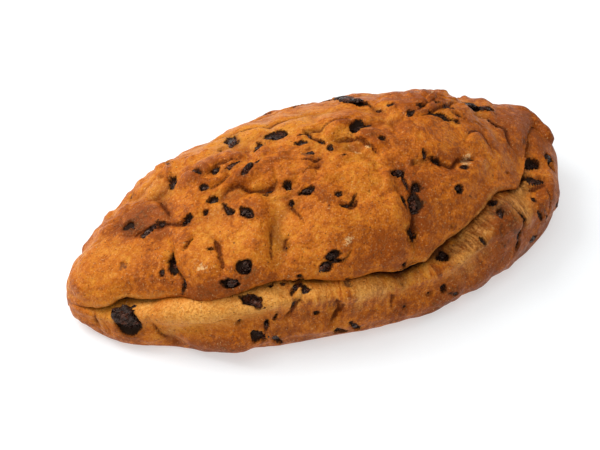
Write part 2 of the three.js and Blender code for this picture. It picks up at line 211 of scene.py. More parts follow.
LAYER_RELIEF = (
    Mark("pale roll on the left", -84, 13, 24, 7, 0, 2.2),
    Mark("bump at the foot", -66, 38, 9, 8, 0, 3.6),
    Mark("crease left of the middle", -38, 21, 10, 3, 50, -3),
    Mark("crease in the middle", -19, 27, 13, 3, 78, -2.6),
    Mark("crease by the left tip", -100, 28, 8, 3, 60, -2),
    Mark("swelling on the right", 40, 27, 18, 12, 0, 2),
    Mark("hollow under the lip", 49, 13, 7, 6, 0, -3),
    Mark("full right end", 137, 8, 8, 12, 0, 3.5),
    Mark("hollow at the right end", 114, 30, 8, 9, 0, -3),
    Mark("narrow right foot", 118, 66, 9, 8, 0, -4),
    Mark("narrow left foot", -98, 41, 8, 7, 0, -3.4),
    Mark("narrow foot by the tip", -134, 22, 6, 7, 0, -2),
    Mark("narrow foot left of the middle", -58, 49, 8, 6, 0, -2.2),
)

BROWNED_FLAP = (
    Mark("underside of the rolled edge", -76, 3, 14, 5, 0, 0.65),
    Mark("lip left of the middle", -48, 3, 12, 4, 0, 0.3),
    Mark("lip in the middle", 10, 12, 18, 9, 0, 0.42),
    Mark("lip right of the middle", 72, 6, 24, 8, 0, 0.15),
    Mark("right end", 122, 20, 13, 34, 0, 0.2),
    Mark("valley right of the dome", 38, 33, 6, 20, 0, 0.6),
    Mark("top by the crown", 40, 94, 16, 10, 0, 0.15),
    Mark("gold behind the top", -22, 101, 26, 8, 0, -0.45),
    Mark("gold at the back of the right end", 92, 66, 14, 8, -30, -0.25),
    Mark("flat shoulder", -96, 50, 12, 9, 0, 1.05),
    Mark("torn skin under the shoulder", -99, 38, 10, 5, -10, 0.7),
    Mark("gold of the left head", -116, 20, 9, 8, 0, 0.13),
    Mark("gold left of the dome", -49, 22, 14, 10, 0, -0.28),
    Mark("gold over the left middle", -48, 87, 26, 12, 0, -0.15),
    Mark("gold of the right dome", 64, 52, 18, 8, -12, -0.18),
    Mark("valley under the right dome", 62, 33, 14, 5, -30, 0.3),
    Mark("gold by the crown", 15, 60, 14, 10, 0, -0.35),
    Mark("gold on the crown", 12, 84, 9, 6, 0, -0.3),
    Mark("brown over the left lip", -108, 8, 10, 5, 0, 0.35),
    Mark("brown beside the left head", -99, 17, 7, 8, 0, 0.22),
    Mark("brown above the plateau", -69, 67, 9, 6, 0, 0.12),
    Mark("gold of the plateau", -78, 53, 10, 8, 0, -0.12),
)
BROWNED_LAYER = (
    Mark("under the cavern", 84, 26, 8, 11, 0, 0.75),
    Mark("right foot", 90, 50, 30, 12, 0, 0.35),
    Mark("gold round the left tip", -128, 9, 9, 8, 0, -0.4),
    Mark("brown by the big raisin", -107, 24, 4, 9, 0, 0.22),
    Mark("gold over the left foot", -95, 31, 12, 8, 0, -0.45),
    Mark("brown along the left crease", -101, 27, 13, 2.5, 71, 0.08),
    Mark("brown by the bump at the foot", -62, 34, 8, 8, 0, 0.12),
    Mark("gold in the middle", 0, 15, 20, 6, 0, -0.2),
    Mark("gold right of the middle", 34, 17, 12, 6, 0, -0.2),
    Mark("brown under the middle", -8, 33, 26, 9, 0, 0.22),
    Mark("brown right of the middle", 46, 38, 14, 9, 0, 0.22),
    Mark("brown under the pale roll", -83, 37, 9, 7, 0, 0.5),
    Mark("brown left of the middle", -37, 40, 9, 7, 0, 0.3),
)
CRUMB_FLAP = (
    Mark("pale edge of the lip", 55, 0.6, 26, 1.1, 0, 0.8),
    Mark("pale edge of the lip on the left", -112, 0.8, 14, 1.3, 0, 0.5),
)
CRUMB_LAYER = (
    Mark("start of the pale band", -106, 7, 8, 4, -35, 0.8),
    Mark("pale band on the left", -82, 16, 17, 5, -3, 0.8),
    Mark("pale band left of the middle", -50, 18, 14, 7, 0, 1),
    Mark("golden crumb in the middle", 2, 16, 16, 7, 0, 0.3),
    Mark("pale patch in the middle", -26, 19, 6, 4, 0, 0.35),
    Mark("pale patch right of the middle", 5, 21, 9, 5, 0, 0.6),
    Mark("golden crumb right of the middle", 32, 18, 10, 7, 0, 0.36),
    Mark("pale strands in the middle", -4, 25, 2.2, 8, 0, 0.6),
    Mark("pale strands right of the middle", 9, 29, 1.8, 6, 0, 0.45),
    Mark("torn crumb on the right", 65, 23, 13, 11, -20, 1),
    Mark("skin under the cavern", 85, 32, 4.5, 6, 0, -0.8),
    Mark("torn crumb before the right end", 94, 27, 7, 6, 0, 0.9),
    Mark("tan crumb at the right end", 104, 14, 9, 7, 0, 0.8),
)
PALE_SPOTS = (
    Mark("spot by the crown", 16.5, 70.5, 1.8, 1.5, 20, 1),
    Mark("second spot by the crown", 23.5, 73, 1.3, 1.1, 0, 1),
    Mark("spot over the right dome", 74, 75, 1.6, 1.2, 0, 0.8),
    Mark("torn flake", 73.5, 27, 3.4, 2.4, -30, 1),
    Mark("crackle over the lip", -5, 17.5, 3, 1.8, 40, 0.8),
    Mark("crackle on the rolled edge", -75.5, 14, 3, 2, 0, 0.7),
)
SMOOTH_PLACES = (
    Mark("dome", 2, 28, 15, 13, 0, 0.75),
    Mark("right dome", 62, 50, 17, 9, -15, 0.7),
    Mark("left nose", -112, 22, 14, 12, 0, 0.65),
    Mark("flat shoulder", -97, 50, 8, 5, 0, 0.7),
    Mark("right end", 122, 24, 9, 12, 0, 0.6),
)


@dataclass(frozen=True)
class Fold:
    """A crease of the baked dough along a bent line of (x, way) points. Sizes in mm.

    what only names it. depth and width are the valley's. Where step isn't 0, the dough on the
    line's left stands that much higher beside it (on its right where step is negative), and falls
    off over reach.
    """

    SHARPNESS = 1.3
    SEEN = 2.5  # widths or reaches off the line within which it is worked out
    FADE = (-0.05, 0.33)  # shares of the line between which its ends fade in
    FADED_DISTANCE = 4.0
    SHALLOW_DISTANCE = 1.2

    what: str
    line: tuple[tuple[float, float], ...]
    depth: float
    width: float = 1.6
    step: float = 0.0
    reach: float = 7.0

    def height(self, x: Array, way: Array) -> tuple[Array, Array]:
        """Valley -depth * exp(-(d / width)^sharpness), and swelling step * exp(-d / reach) on one side.

        d is the distance to the line. Both fade to nothing over a third of the line at its ends.

        Args:
            x: places along the loaf.
            way: places along the crust.

        Returns:
            Heights, and distances to the line that grow where it fades, in mm.
        """
        total, far = np.zeros_like(x), np.full(x.shape, FAR)
        corners = np.asarray(self.line, float)
        edge = self.SEEN * max(self.width, self.reach if self.step else 0.0)
        low, high = corners.min(0) - edge, corners.max(0) + edge
        near = (x > low[0]) & (x < high[0]) & (way > low[1]) & (way < high[1])
        px, py = x[near], way[near]
        best = np.full(px.shape, np.inf)
        side, along = np.zeros_like(best), np.zeros_like(best)
        lengths = np.linalg.norm(np.diff(corners, axis=0), axis=1)
        before = np.concatenate([[0.0], np.cumsum(lengths)])
        for k, length in enumerate(lengths):
            (ax, ay), (bx, by) = corners[k], corners[k + 1]
            ux, uy = (bx - ax) / length, (by - ay) / length
            run = np.clip((px - ax) * ux + (py - ay) * uy, 0, length)
            dx, dy = px - ax - run * ux, py - ay - run * uy
            away = np.hypot(dx, dy)
            closer = away < best
            best = np.where(closer, away, best)
            side = np.where(closer, np.sign(ux * dy - uy * dx), side)
            along = np.where(closer, before[k] + run, along)
        share = along / before[-1]
        fade = smooth(*self.FADE, share) * smooth(*self.FADE, 1 - share)
        valley = -self.depth * np.exp(-((best / self.width) ** self.SHARPNESS))
        beside = np.where(side * self.step > 0, abs(self.step), 0.0)
        swelling = beside * np.exp(-best / self.reach) * smooth(0.0, self.width, best)
        total[near] = (valley + swelling) * fade
        far[near] = best + self.FADED_DISTANCE * (1.0 - fade) + self.SHALLOW_DISTANCE / self.depth
        far = np.minimum(far, FAR)
        return total, far


FLAP_FOLDS = (
    Fold("slit by the rolled edge", ((-88, 27), (-90, 17), (-87, 10), (-84.5, 1)), 2.4, 1.5, 1.2),
    Fold("crease over the rolled edge", ((-85, 22), (-81, 25), (-78, 29), (-73, 33)), 1.6, 1.3, 1.2),
    Fold("edge of the flat shoulder",
         ((-91, 68), (-86, 59), (-84, 51), (-82, 45), (-86, 40)), 2.0, 1.7, -1.2),
    Fold("line under the flat shoulder",
         ((-112, 38), (-101, 34), (-93, 38), (-86, 41), (-79, 40), (-71, 44), (-66, 46)), 1.7, 1.8, 0.8),
    Fold("valley right of the rolled edge", ((-71, 36), (-66, 25), (-67, 14), (-70, 5)), 2.4, 2.6, -0.6),
    Fold("valley down to the lip", ((-35, 34), (-39, 26), (-42, 17), (-43, 9), (-41, 2)), 1.5, 2.5, -0.8),
    Fold("arched crease",
         ((-58, 44), (-58, 52), (-53, 55), (-46, 55), (-40, 52), (-33, 51), (-28, 53), (-27, 59),
          (-29, 65)), 2.0, 1.3, 1.0),
    Fold("crescent of a covered raisin",
         ((-3, 40), (-2, 36.5), (1, 34.3), (4, 35), (6, 38), (6, 42)), 2.2, 1.0),
    Fold("crease left of the dome", ((-26, 46), (-25, 37), (-23, 26)), 1.5, 1.8, -0.5),
    Fold("crack over the rolled edge", ((-75, 24.5), (-70, 22.5), (-65, 23.5)), 1.0, 0.7),
    Fold("crack across it", ((-72, 27), (-70, 23), (-69.5, 18)), 1.0, 0.7),
    Fold("forked wrinkle", ((-37, 12), (-35, 17), (-34, 20), (-30, 22)), 1.5, 0.8),
    Fold("crease by the crown",
         ((1, 80.5), (9, 80.5), (17, 80), (22, 77.5), (25.5, 72), (28, 65), (29, 58)), 2.0, 1.5, 1.0),
    Fold("slit by the crown", ((-3, 90), (-1.5, 83), (1.5, 79), (5, 75)), 1.8, 1.2, 0.5),
    Fold("long valley right of the dome",
         ((32, 52), (36, 44), (36.5, 37), (33.5, 30), (32, 22), (31, 12), (29, 2)), 2.6, 2.0, -1.0),
    Fold("valley under the right dome",
         ((36, 48), (45, 49), (52, 45), (57, 39), (63, 33), (68, 31), (75, 25), (82, 21),
          (91, 16)), 2.3, 1.9, 1.2),
    Fold("long slit over the right dome",
         ((48, 73), (58, 69), (65, 66.5), (72, 63), (79, 58), (87, 56), (94, 52)), 1.7, 1.2, 0.8),
    Fold("short slit over the right dome",
         ((50, 80), (58, 74), (66, 71.5), (73, 69), (80, 64)), 1.3, 1.2, 0.6),
    Fold("fine line", ((37, 63), (40, 56), (48, 49)), 0.9, 0.8),
    Fold("step before the right end",
         ((97, 61), (103, 51), (107, 42), (109, 30), (111, 16), (110, 3)), 2.4, 1.6, -1.3),
    Fold("crease on the left shoulder", ((-79, 84), (-74, 72), (-78, 62)), 1.5, 1.6, 0.5),
    Fold("crease over the left middle",
         ((-66, 64), (-59, 68), (-51, 71), (-41, 72), (-33, 75)), 1.4, 1.4, 0.8),
    Fold("fold over the left middle", ((-64, 57), (-58, 60), (-50, 64), (-43, 63)), 1.3, 1.5, 0.8),
    Fold("crease over the lip raisins", ((-24, 8), (-17, 10), (-9, 9), (-4, 13), (-3, 19)), 1.1, 1.0, 0.6),
    Fold("fold of the brown swelling", ((74, 34), (82, 36), (90, 32), (94, 24), (92, 16)), 1.6, 1.8, -0.7),
    Fold("rim of a covered raisin by the crown",
         ((-13, 72), (-12, 66), (-7, 63.5), (-2, 65), (-1, 70)), 1.7, 0.9),
    Fold("crease over the crown",
         ((-10, 84), (-3, 87), (5, 88), (13, 91), (20, 93), (30, 95)), 1.5, 1.0, 0.8),
    Fold("crease under the crown", ((-22, 60), (-14, 58), (-6, 60), (0, 65)), 1.2, 1.5, 0.8),
    Fold("crease behind the crown",
         ((-60, 104), (-40, 108), (-18, 104), (4, 109), (22, 104)), 1.6, 2.0, 0.8),
    Fold("long crease at the back",
         ((-96, 128), (-60, 138), (-20, 132), (24, 141), (70, 133)), 1.8, 2.2, 1.0),
    Fold("crease low at the back", ((-60, 168), (-24, 162), (12, 170), (52, 160)), 1.5, 2.0, -0.8),
)
LAYER_FOLDS = (
    Fold("crease left of the middle",
         ((-30, 17), (-34, 22), (-37, 28), (-40, 34), (-43, 39)), 1.9, 1.3, -0.6),
    Fold("crease in the middle", ((-17, 15), (-15, 24), (-14.5, 31), (-18, 39), (-22, 45)), 2.0, 1.2, -0.8),
    Fold("crease by the left tip",
         ((-107, 13), (-104, 21), (-101, 28), (-98, 36), (-95, 42)), 1.2, 1.3, 0.5),
    Fold("crack at the left tip", ((-130, 4), (-131.5, 10), (-129, 17)), 1.1, 0.8),
    Fold("wrinkle at the left tip", ((-127, 7), (-126, 15), (-122, 24)), 0.8, 1.0),
    Fold("wrinkle by the big raisin", ((-124.5, 6), (-124, 13), (-122, 20)), 0.6, 0.9),
    Fold("crease under the pale roll",
         ((-96, 14), (-90, 19), (-80, 23), (-70, 22), (-62, 30)), 0.9, 2.4, 0.2),
    Fold("rim of a covered raisin in the middle", ((-13, 22), (-12, 28), (-14, 33), (-19, 35)), 1.5, 0.9),
    Fold("rim of the leaf raisin", ((121, 34), (119, 40), (118, 47), (117, 53)), 1.4, 0.9),
    Fold("crease right of the middle", ((20, 12), (21, 19), (19, 26)), 1.1, 0.8),
    Fold("crack right of the middle", ((12.5, 21), (15, 28), (13.5, 34), (16, 41)), 1.1, 0.7),
    Fold("short crease in the middle", ((12, 35), (18, 38), (21, 45)), 1.0, 0.9),
    Fold("first fold of the right end", ((104, 14), (112, 24), (118, 33), (126, 44)), 2.2, 1.5, 1.0),
    Fold("second fold of the right end", ((113, 12), (120, 22), (126, 34)), 2.0, 1.4, 0.8),
    Fold("fold beside the crumb", ((86, 17), (92, 25), (96, 34), (99, 46)), 2.2, 1.6, 1.0),
)


@dataclass(frozen=True)
class LoafLines:
    """The loaf's lines at nine places from tip to tip, spaced evenly in angle. Sizes in mm.

    The places stand at x = -length / 2 * cos(angle), so that the tips come out round.
    """

    length: float = 280.0
    layer_reach: float = 75.0
    back_reach: float = 73.0
    crown_height: float = 76.0
    lip_reach: float = 64.0
    lip_height: float = 39.0
    crease_depth: float = 16.0
    crease_gap: float = 1.2
    lip_radius: float = 4.0
    wide_enough: float = 60.0
    front: tuple[float, ...] = (0, 0.316, 0.615, 0.906, 0.993, 0.925, 0.725, 0.42, 0)
    back: tuple[float, ...] = (0, 0.295, 0.63, 0.875, 0.98, 0.95, 0.78, 0.6, 0)
    crown: tuple[float, ...] = (0.21, 0.46, 0.67, 0.875, 0.98, 0.95, 0.745, 0.51, 0.4)
    lip_out: tuple[float, ...] = (0, 0.27, 0.56, 0.91, 1, 0.87, 0.52, -0.16, 0)
    lip_up: tuple[float, ...] = (0.36, 0.56, 0.74, 1, 1, 0.95, 0.96, 0.89, 0.52)
    crease: tuple[float, ...] = (0, 0.25, 0.5, 0.75, 0.88, 1, 0.88, 0.5, 0)
    lean: tuple[float, ...] = (-6, -4, -2, 0, 0, 0, 0, 0, 4)
    underside: tuple[float, ...] = (10, 2, 0, 0, 0, 0, 0, 2, 10)
    bends: tuple[tuple[float, float, float], ...] = (
        (-128, 6, 2.4), (-114, 6, -0.6), (-94, 5, -1.4), (-47, 8, -3), (-29, 8, -1.8),
        (24, 11, 5.2), (38, 6, 1.2), (68, 7, -1.2), (84, 9, -6.8), (105, 6, 2.6))
    bend_fall: float = 0.8

    def bend(self, t: Array) -> Array:
        """How far the lip wanders out from its line: a sum of bells (place x, width, reach)."""
        x = -self.length / 2 * np.cos(math.pi * t)
        return sum(reach * np.exp(-0.5 * ((x - place) / width) ** 2) for place, width, reach in self.bends)

    def line(self, shares: tuple[float, ...], size: float, t: Array) -> Array:
        """One line: its shares times its size, joined by a Catmull-Rom curve.

        Args:
            shares: the line's values at the nine places.
            size: the size that the shares are of.
            t: places from 0 at the left tip to 1 at the right one.

        Returns:
            The line's values.
        """
        values = np.asarray(shares) * size
        padded = np.concatenate([[2 * values[0] - values[1]], values, [2 * values[-1] - values[-2]]])
        place = np.clip(t, 0, 1) * (len(values) - 1)
        i = np.minimum(place.astype(int), len(values) - 2)
        return blend(padded[i], padded[i + 1], padded[i + 2], padded[i + 3], place - i)

    def key_points(self, t: Array) -> Array:
        """Key points (y, z) of the section, in order round the loaf.

        They are the underside's middle, the lower layer's foot and front, the crease, the flap's
        lip, the crown, the back and its foot. Each stands at shares of the section's own reaches,
        widths and heights, which are the numbers in its row.

        Args:
            t: places from tip to tip.

        Returns:
            An array of len(t) x 15 x 2, in mm.
        """
        front = self.line(self.front, self.layer_reach, t)
        back = self.line(self.back, self.back_reach, t)
        crown = self.line(self.crown, self.crown_height, t)
        bend = self.bend(t)
        lip_out = self.line(self.lip_out, self.lip_reach, t) + bend
        lip_up = self.line(self.lip_up, self.lip_height, t) - self.bend_fall * bend
        crease = self.line(self.crease, self.crease_depth, t)
        under = self.line(self.underside, 1.0, t)
        layer, flap, width, tall = lip_up - under, crown - lip_up, lip_out + back, crown - under
        radius = self.lip_radius * np.clip(width / self.wide_enough, 0, 1)
        rows = [
            (0 * front, under),
            (-0.8 * front, under),
            (-0.985 * front, under + 0.3 * layer),
            (-0.93 * front, under + 0.66 * layer),
            (-0.7 * front - 0.28 * lip_out, under + 0.93 * layer),
            (-lip_out + crease, lip_up + 0.5 * self.crease_gap - 0.1),
            (-lip_out + 0.3 * crease, lip_up + self.crease_gap),
            (-lip_out, lip_up + radius),
            (-lip_out + 0.03 * width, lip_up + 0.36 * flap),
            (-lip_out + 0.17 * width, lip_up + 0.76 * flap),
            (-lip_out + 0.4 * width, lip_up + 0.985 * flap),
            (-lip_out + 0.64 * width, lip_up + 0.955 * flap),
            (-lip_out + 0.9 * width, under + 0.68 * tall),
            (0.99 * back, under + 0.35 * tall),
            (0.8 * back, under),
        ]
        keys = np.stack([np.stack(row, -1) for row in rows], -2)
        keys[..., 0] += self.line(self.lean, 1.0, t)[:, None]
        return keys


@dataclass(frozen=True)
class Swell:
    """Broad unevenness of the risen dough: crossing waves through the whole loaf. Sizes in mm."""

    waves: int = 7
    height: float = 0.55
    longest: float = 64.0
    shortest: float = 24.0
    flatness: float = 0.8
    phase: float = 1.7

    def at(self, points: Array) -> Array:
        """Sum of sines from long to short, each in a direction a golden angle on from the last.

        Args:
            points: places, last axis of three.

        Returns:
            Heights in mm.
        """
        total = np.zeros(points.shape[:-1])
        for k in range(self.waves):
            share = k / (self.waves - 1)
            wave = self.longest * (self.shortest / self.longest) ** share
            climb = 2 * share - 1
            flat = math.sqrt(1 - self.flatness * climb * climb)
            turn = GOLDEN_ANGLE * k
            way = points @ np.array([flat * math.cos(turn), flat * math.sin(turn), climb])
            total += np.sin(2 * math.pi * way / wave + self.phase * k) * wave / self.longest
        return self.height * total


@dataclass(frozen=True)
class SkinPlaces:
    """Places on the undisturbed skin, in mm, with the directions and each sheet's share there.

    over is the way up the flap from its lip, and down the way down the lower layer from the crease.
    """

    t: Array
    s: Array
    point: Array
    out: Array
    along: Array
    over: Array
    down: Array
    share: dict[Sheet, Array]


class Skin:
    """The loaf's skin as a function of t along the loaf and s round its section, in spans.

    A row of LUMPS is a wave, a height and a shift of the noise. Sizes are in mm, and a pair whose
    name ends in _FROM or _TO is where something starts and ends on the way up the flap.
    """

    SPANS = 15
    CREASE_KEY = 5
    LIP_KEY = 7
    FINE = 24
    BASE_FADE = 7.0
    LUMPS = ((19.0, 1.3, 0.4), (9.5, 0.6, 3.3), (4.6, 0.28, 6.8))
    BENDING = 4.0
    CREASES = 0.95
    CREASE_WAVE = 11.0
    WAVER = 1.3
    TERRACE = 1.2
    TERRACE_WAVE = 19.0
    TERRACE_FROM = (30.0, 55.0)
    TERRACE_TO = (85.0, 110.0)
    UPPER_FROM = (25.0, 60.0)
    UPPER_TO = (82.0, 108.0)

    def __init__(self, lines: LoafLines, swell: Swell, noise: LatticeNoise) -> None:
        """Keeps what the skin is worked out from.

        Args:
            lines: the loaf's lines.
            swell: its broad unevenness.
            noise: noise for its lumps and wrinkles.
        """
        self.lines = lines
        self.swell = swell
        self.noise = noise

    def base(self, t: Array, s: Array) -> Array:
        """Undisturbed skin: a closed Catmull-Rom curve through the section's key points, cut at z = 0.

        Args:
            t: places along the loaf, one for each row.
            s: places round the section, of shape (len(t), n).

        Returns:
            Points of shape (len(t), n, 3), in mm.
        """
        keys = self.lines.key_points(t)
        i = np.floor(s).astype(int)
        rows = np.arange(len(t))[:, None]
        near = [keys[rows, (i + step) % self.SPANS] for step in (-1, 0, 1, 2)]
        flat = blend(*near, (s - i)[..., None])
        x = np.broadcast_to(-self.lines.length / 2 * np.cos(math.pi * t)[:, None], s.shape)
        return np.stack([x, flat[..., 0], np.maximum(flat[..., 1], 0.0)], -1)

    def places(self, t: Array, s: Array) -> SkinPlaces:
        """Points, outward directions and ways along the crust, by small steps on the skin.

        The way is the summed length of the section's fine chords from the lip or from the crease.

        Args:
            t: places along the loaf, one for each row.
            s: places round the section, of shape (len(t), n).

        Returns:
            The places.
        """
        step, turn = 0.004, 0.05
        low, high = np.maximum(t - step, 0.001), np.minimum(t + step, 0.999)
        along = self.base(high, s) - self.base(low, s)
        around = self.base(t, (s + turn) % self.SPANS) - self.base(t, (s - turn) % self.SPANS)
        out = np.cross(along, around)
        out /= np.linalg.norm(out, axis=-1, keepdims=True) + 1e-9
        along -= out * np.sum(along * out, -1, keepdims=True)
        along /= np.linalg.norm(along, axis=-1, keepdims=True) + 1e-9
        run = self.run(t)
        here = self.run_at(run, s)
        lip = run[:, self.LIP_KEY * self.FINE][:, None]
        crease = run[:, self.CREASE_KEY * self.FINE][:, None]
        return SkinPlaces(t, s, self.base(t, s), out, along, here - lip, crease - here, self.shares(s))

    def run(self, t: Array) -> Array:
        """Length of the section's curve from the underside's middle to each fine place.

        Args:
            t: places along the loaf.

        Returns:
            Lengths of shape (len(t), SPANS * FINE + 1), in mm.
        """
        fine = np.arange(self.SPANS * self.FINE + 1) / self.FINE
        points = self.base(t, np.broadcast_to(fine % self.SPANS, (len(t), len(fine))))
        steps = np.linalg.norm(np.diff(points, axis=1), axis=-1)
        return np.concatenate([np.zeros((len(t), 1)), np.cumsum(steps, 1)], 1)

    def run_at(self, run: Array, s: Array) -> Array:
        """The run between its fine places, by straight shares.

        Args:
            run: lengths from run().
            s: places round the section.

        Returns:
            Lengths of the shape of s.
        """
        place = s * self.FINE
        i = np.minimum(place.astype(int), self.SPANS * self.FINE - 1)
        rows = np.arange(len(run))[:, None]
        return run[rows, i] + (run[rows, i + 1] - run[rows, i]) * (place - i)

    def shares(self, s: Array) -> dict[Sheet, Array]:
        """How far each place round the section belongs to the flap and to the lower layer."""
        layer = 1.0 - smooth(self.CREASE_KEY - 0.5, self.CREASE_KEY + 0.4, s)
        return {Sheet.FLAP: smooth(self.LIP_KEY - 1.4, self.LIP_KEY - 0.3, s), Sheet.LAYER: layer}

    def relief(self, at: SkinPlaces) -> Array:
        """Height of the baked dough over the undisturbed skin: swell and marks, none at the base.

        Args:
            at: places on the skin.

        Returns:
            Heights in mm.
        """
        share, x = at.share, at.point[..., 0]
        height = self.swell.at(at.point) * np.maximum(share[Sheet.FLAP], share[Sheet.LAYER])
        for mark in FLAP_RELIEF:
            height = height + share[Sheet.FLAP] * mark.bell(x, at.over)
        for mark in LAYER_RELIEF:
            height = height + share[Sheet.LAYER] * mark.bell(x, at.down)
        return height * smooth(0.0, self.BASE_FADE, at.point[..., 2])

    def lumps(self, at: SkinPlaces) -> Array:
        """Height of the dough's lumps, creases and ledges.

        Lumps are |noise|, which is round on top and sharp in its valleys, in three sizes, stronger
        high on the flap and weaker where the dough is stretched smooth. Sharp folds of noise, twice
        as long as wide, are cut in. Ledges rise slowly and drop at once, as the fraction of a broad
        noise does, where another noise lets them. Places are first shifted by a soft noise, so that
        nothing runs straight.

        Args:
            at: places on the skin.

        Returns:
            Heights in mm.
        """
        noise, point, share = self.noise, at.point, at.share
        bent = point + self.BENDING * np.stack([noise.at(point, 21.0, k) for k in (2.3, 5.9, 8.2)], -1)
        lumps = np.zeros(at.s.shape)
        for wave, height, offset in self.LUMPS:
            lumps += height * (2.4 * np.abs(noise.at(bent, wave, offset)) - 0.6)
        calm = np.zeros(at.s.shape)
        for mark in SMOOTH_PLACES:
            calm = np.maximum(calm, mark.bell(point[..., 0], at.over) * share[Sheet.FLAP])
        upper = 0.75 + 0.65 * smooth(*self.UPPER_FROM, at.over) - 0.6 * smooth(*self.UPPER_TO, at.over)
        folds = noise.ridged(bent * (0.5, 0.9, 0.9), self.CREASE_WAVE, 1.4)
        lumps -= self.CREASES * folds * (upper - 0.4)
        turns = (2.6 * noise.at(bent * (0.55, 1.0, 1.0), self.TERRACE_WAVE, 6.6) + 4.0) % 1.0
        ledge = turns * (1.0 - smooth(0.82, 1.0, turns)) * smooth(0.0, 0.35, noise.at(point, 12.0, 9.1))
        ledge = self.TERRACE * ledge * smooth(*self.TERRACE_FROM, at.over)
        lumps += ledge * (1.0 - 0.6 * smooth(*self.TERRACE_TO, at.over))
        return lumps * (1.0 - calm) * (upper * share[Sheet.FLAP] + 0.7 * share[Sheet.LAYER])

    def detail(self, at: SkinPlaces) -> tuple[Array, Array]:
        """Height of the lumps and folds that are finer than the relief, none at the base.

        The folds' places are shifted by a soft noise, so that their lines waver.

        Args:
            at: places on the skin.

        Returns:
            Heights, and distances to the nearest fold, in mm.
        """
        height, slit = self.lumps(at), np.full(at.s.shape, FAR)
        shift = [self.WAVER * self.noise.layered(at.point, 8.0, 2, k) for k in (1.7, 6.1)]
        x = at.point[..., 0] + shift[0]
        sheets = ((FLAP_FOLDS, Sheet.FLAP, at.over), (LAYER_FOLDS, Sheet.LAYER, at.down))
        for folds, sheet, way in sheets:
            for fold in folds:
                rise, away = fold.height(x, way + shift[1])
                height = height + at.share[sheet] * rise
                slit = np.minimum(slit, FAR - (FAR - away) * at.share[sheet])
        return height * smooth(0.0, self.BASE_FADE, at.point[..., 2]), slit

    def find(self, x: float, way: float, sheet: Sheet) -> tuple[float, float]:
        """The place where the way along the crust of one sheet reaches the wanted length.

        Args:
            x: place along the loaf, in mm.
            way: wanted way, in mm.
            sheet: the sheet that it is measured on.

        Returns:
            t and s of the nearest fine place.
        """
        t = math.acos(-2 * x / self.lines.length) / math.pi
        run = self.run(np.array([t]))[0]
        if sheet is Sheet.FLAP:
            ways, first = run - run[self.LIP_KEY * self.FINE], self.LIP_KEY * self.FINE
            last = (self.SPANS - 1) * self.FINE
        else:
            ways, first = run[self.CREASE_KEY * self.FINE] - run, self.FINE
            last = self.CREASE_KEY * self.FINE
        best = first + int(np.argmin(np.abs(ways[first : last + 1] - way)))
        return t, best / self.FINE


@dataclass(frozen=True)
class Raisin:
    """A raisin in the crust: place, length, width and turn of the tear that shows it. Sizes in mm.

    cover is how far baked skin still lies over it, from 0 to 1, and proud how far it is lifted out.
    """

    x: float
    way: float
    length: float
    width: float
    turn: float
    cover: float = 0.0
    proud: float = 0.0
    sheet: Sheet = Sheet.FLAP


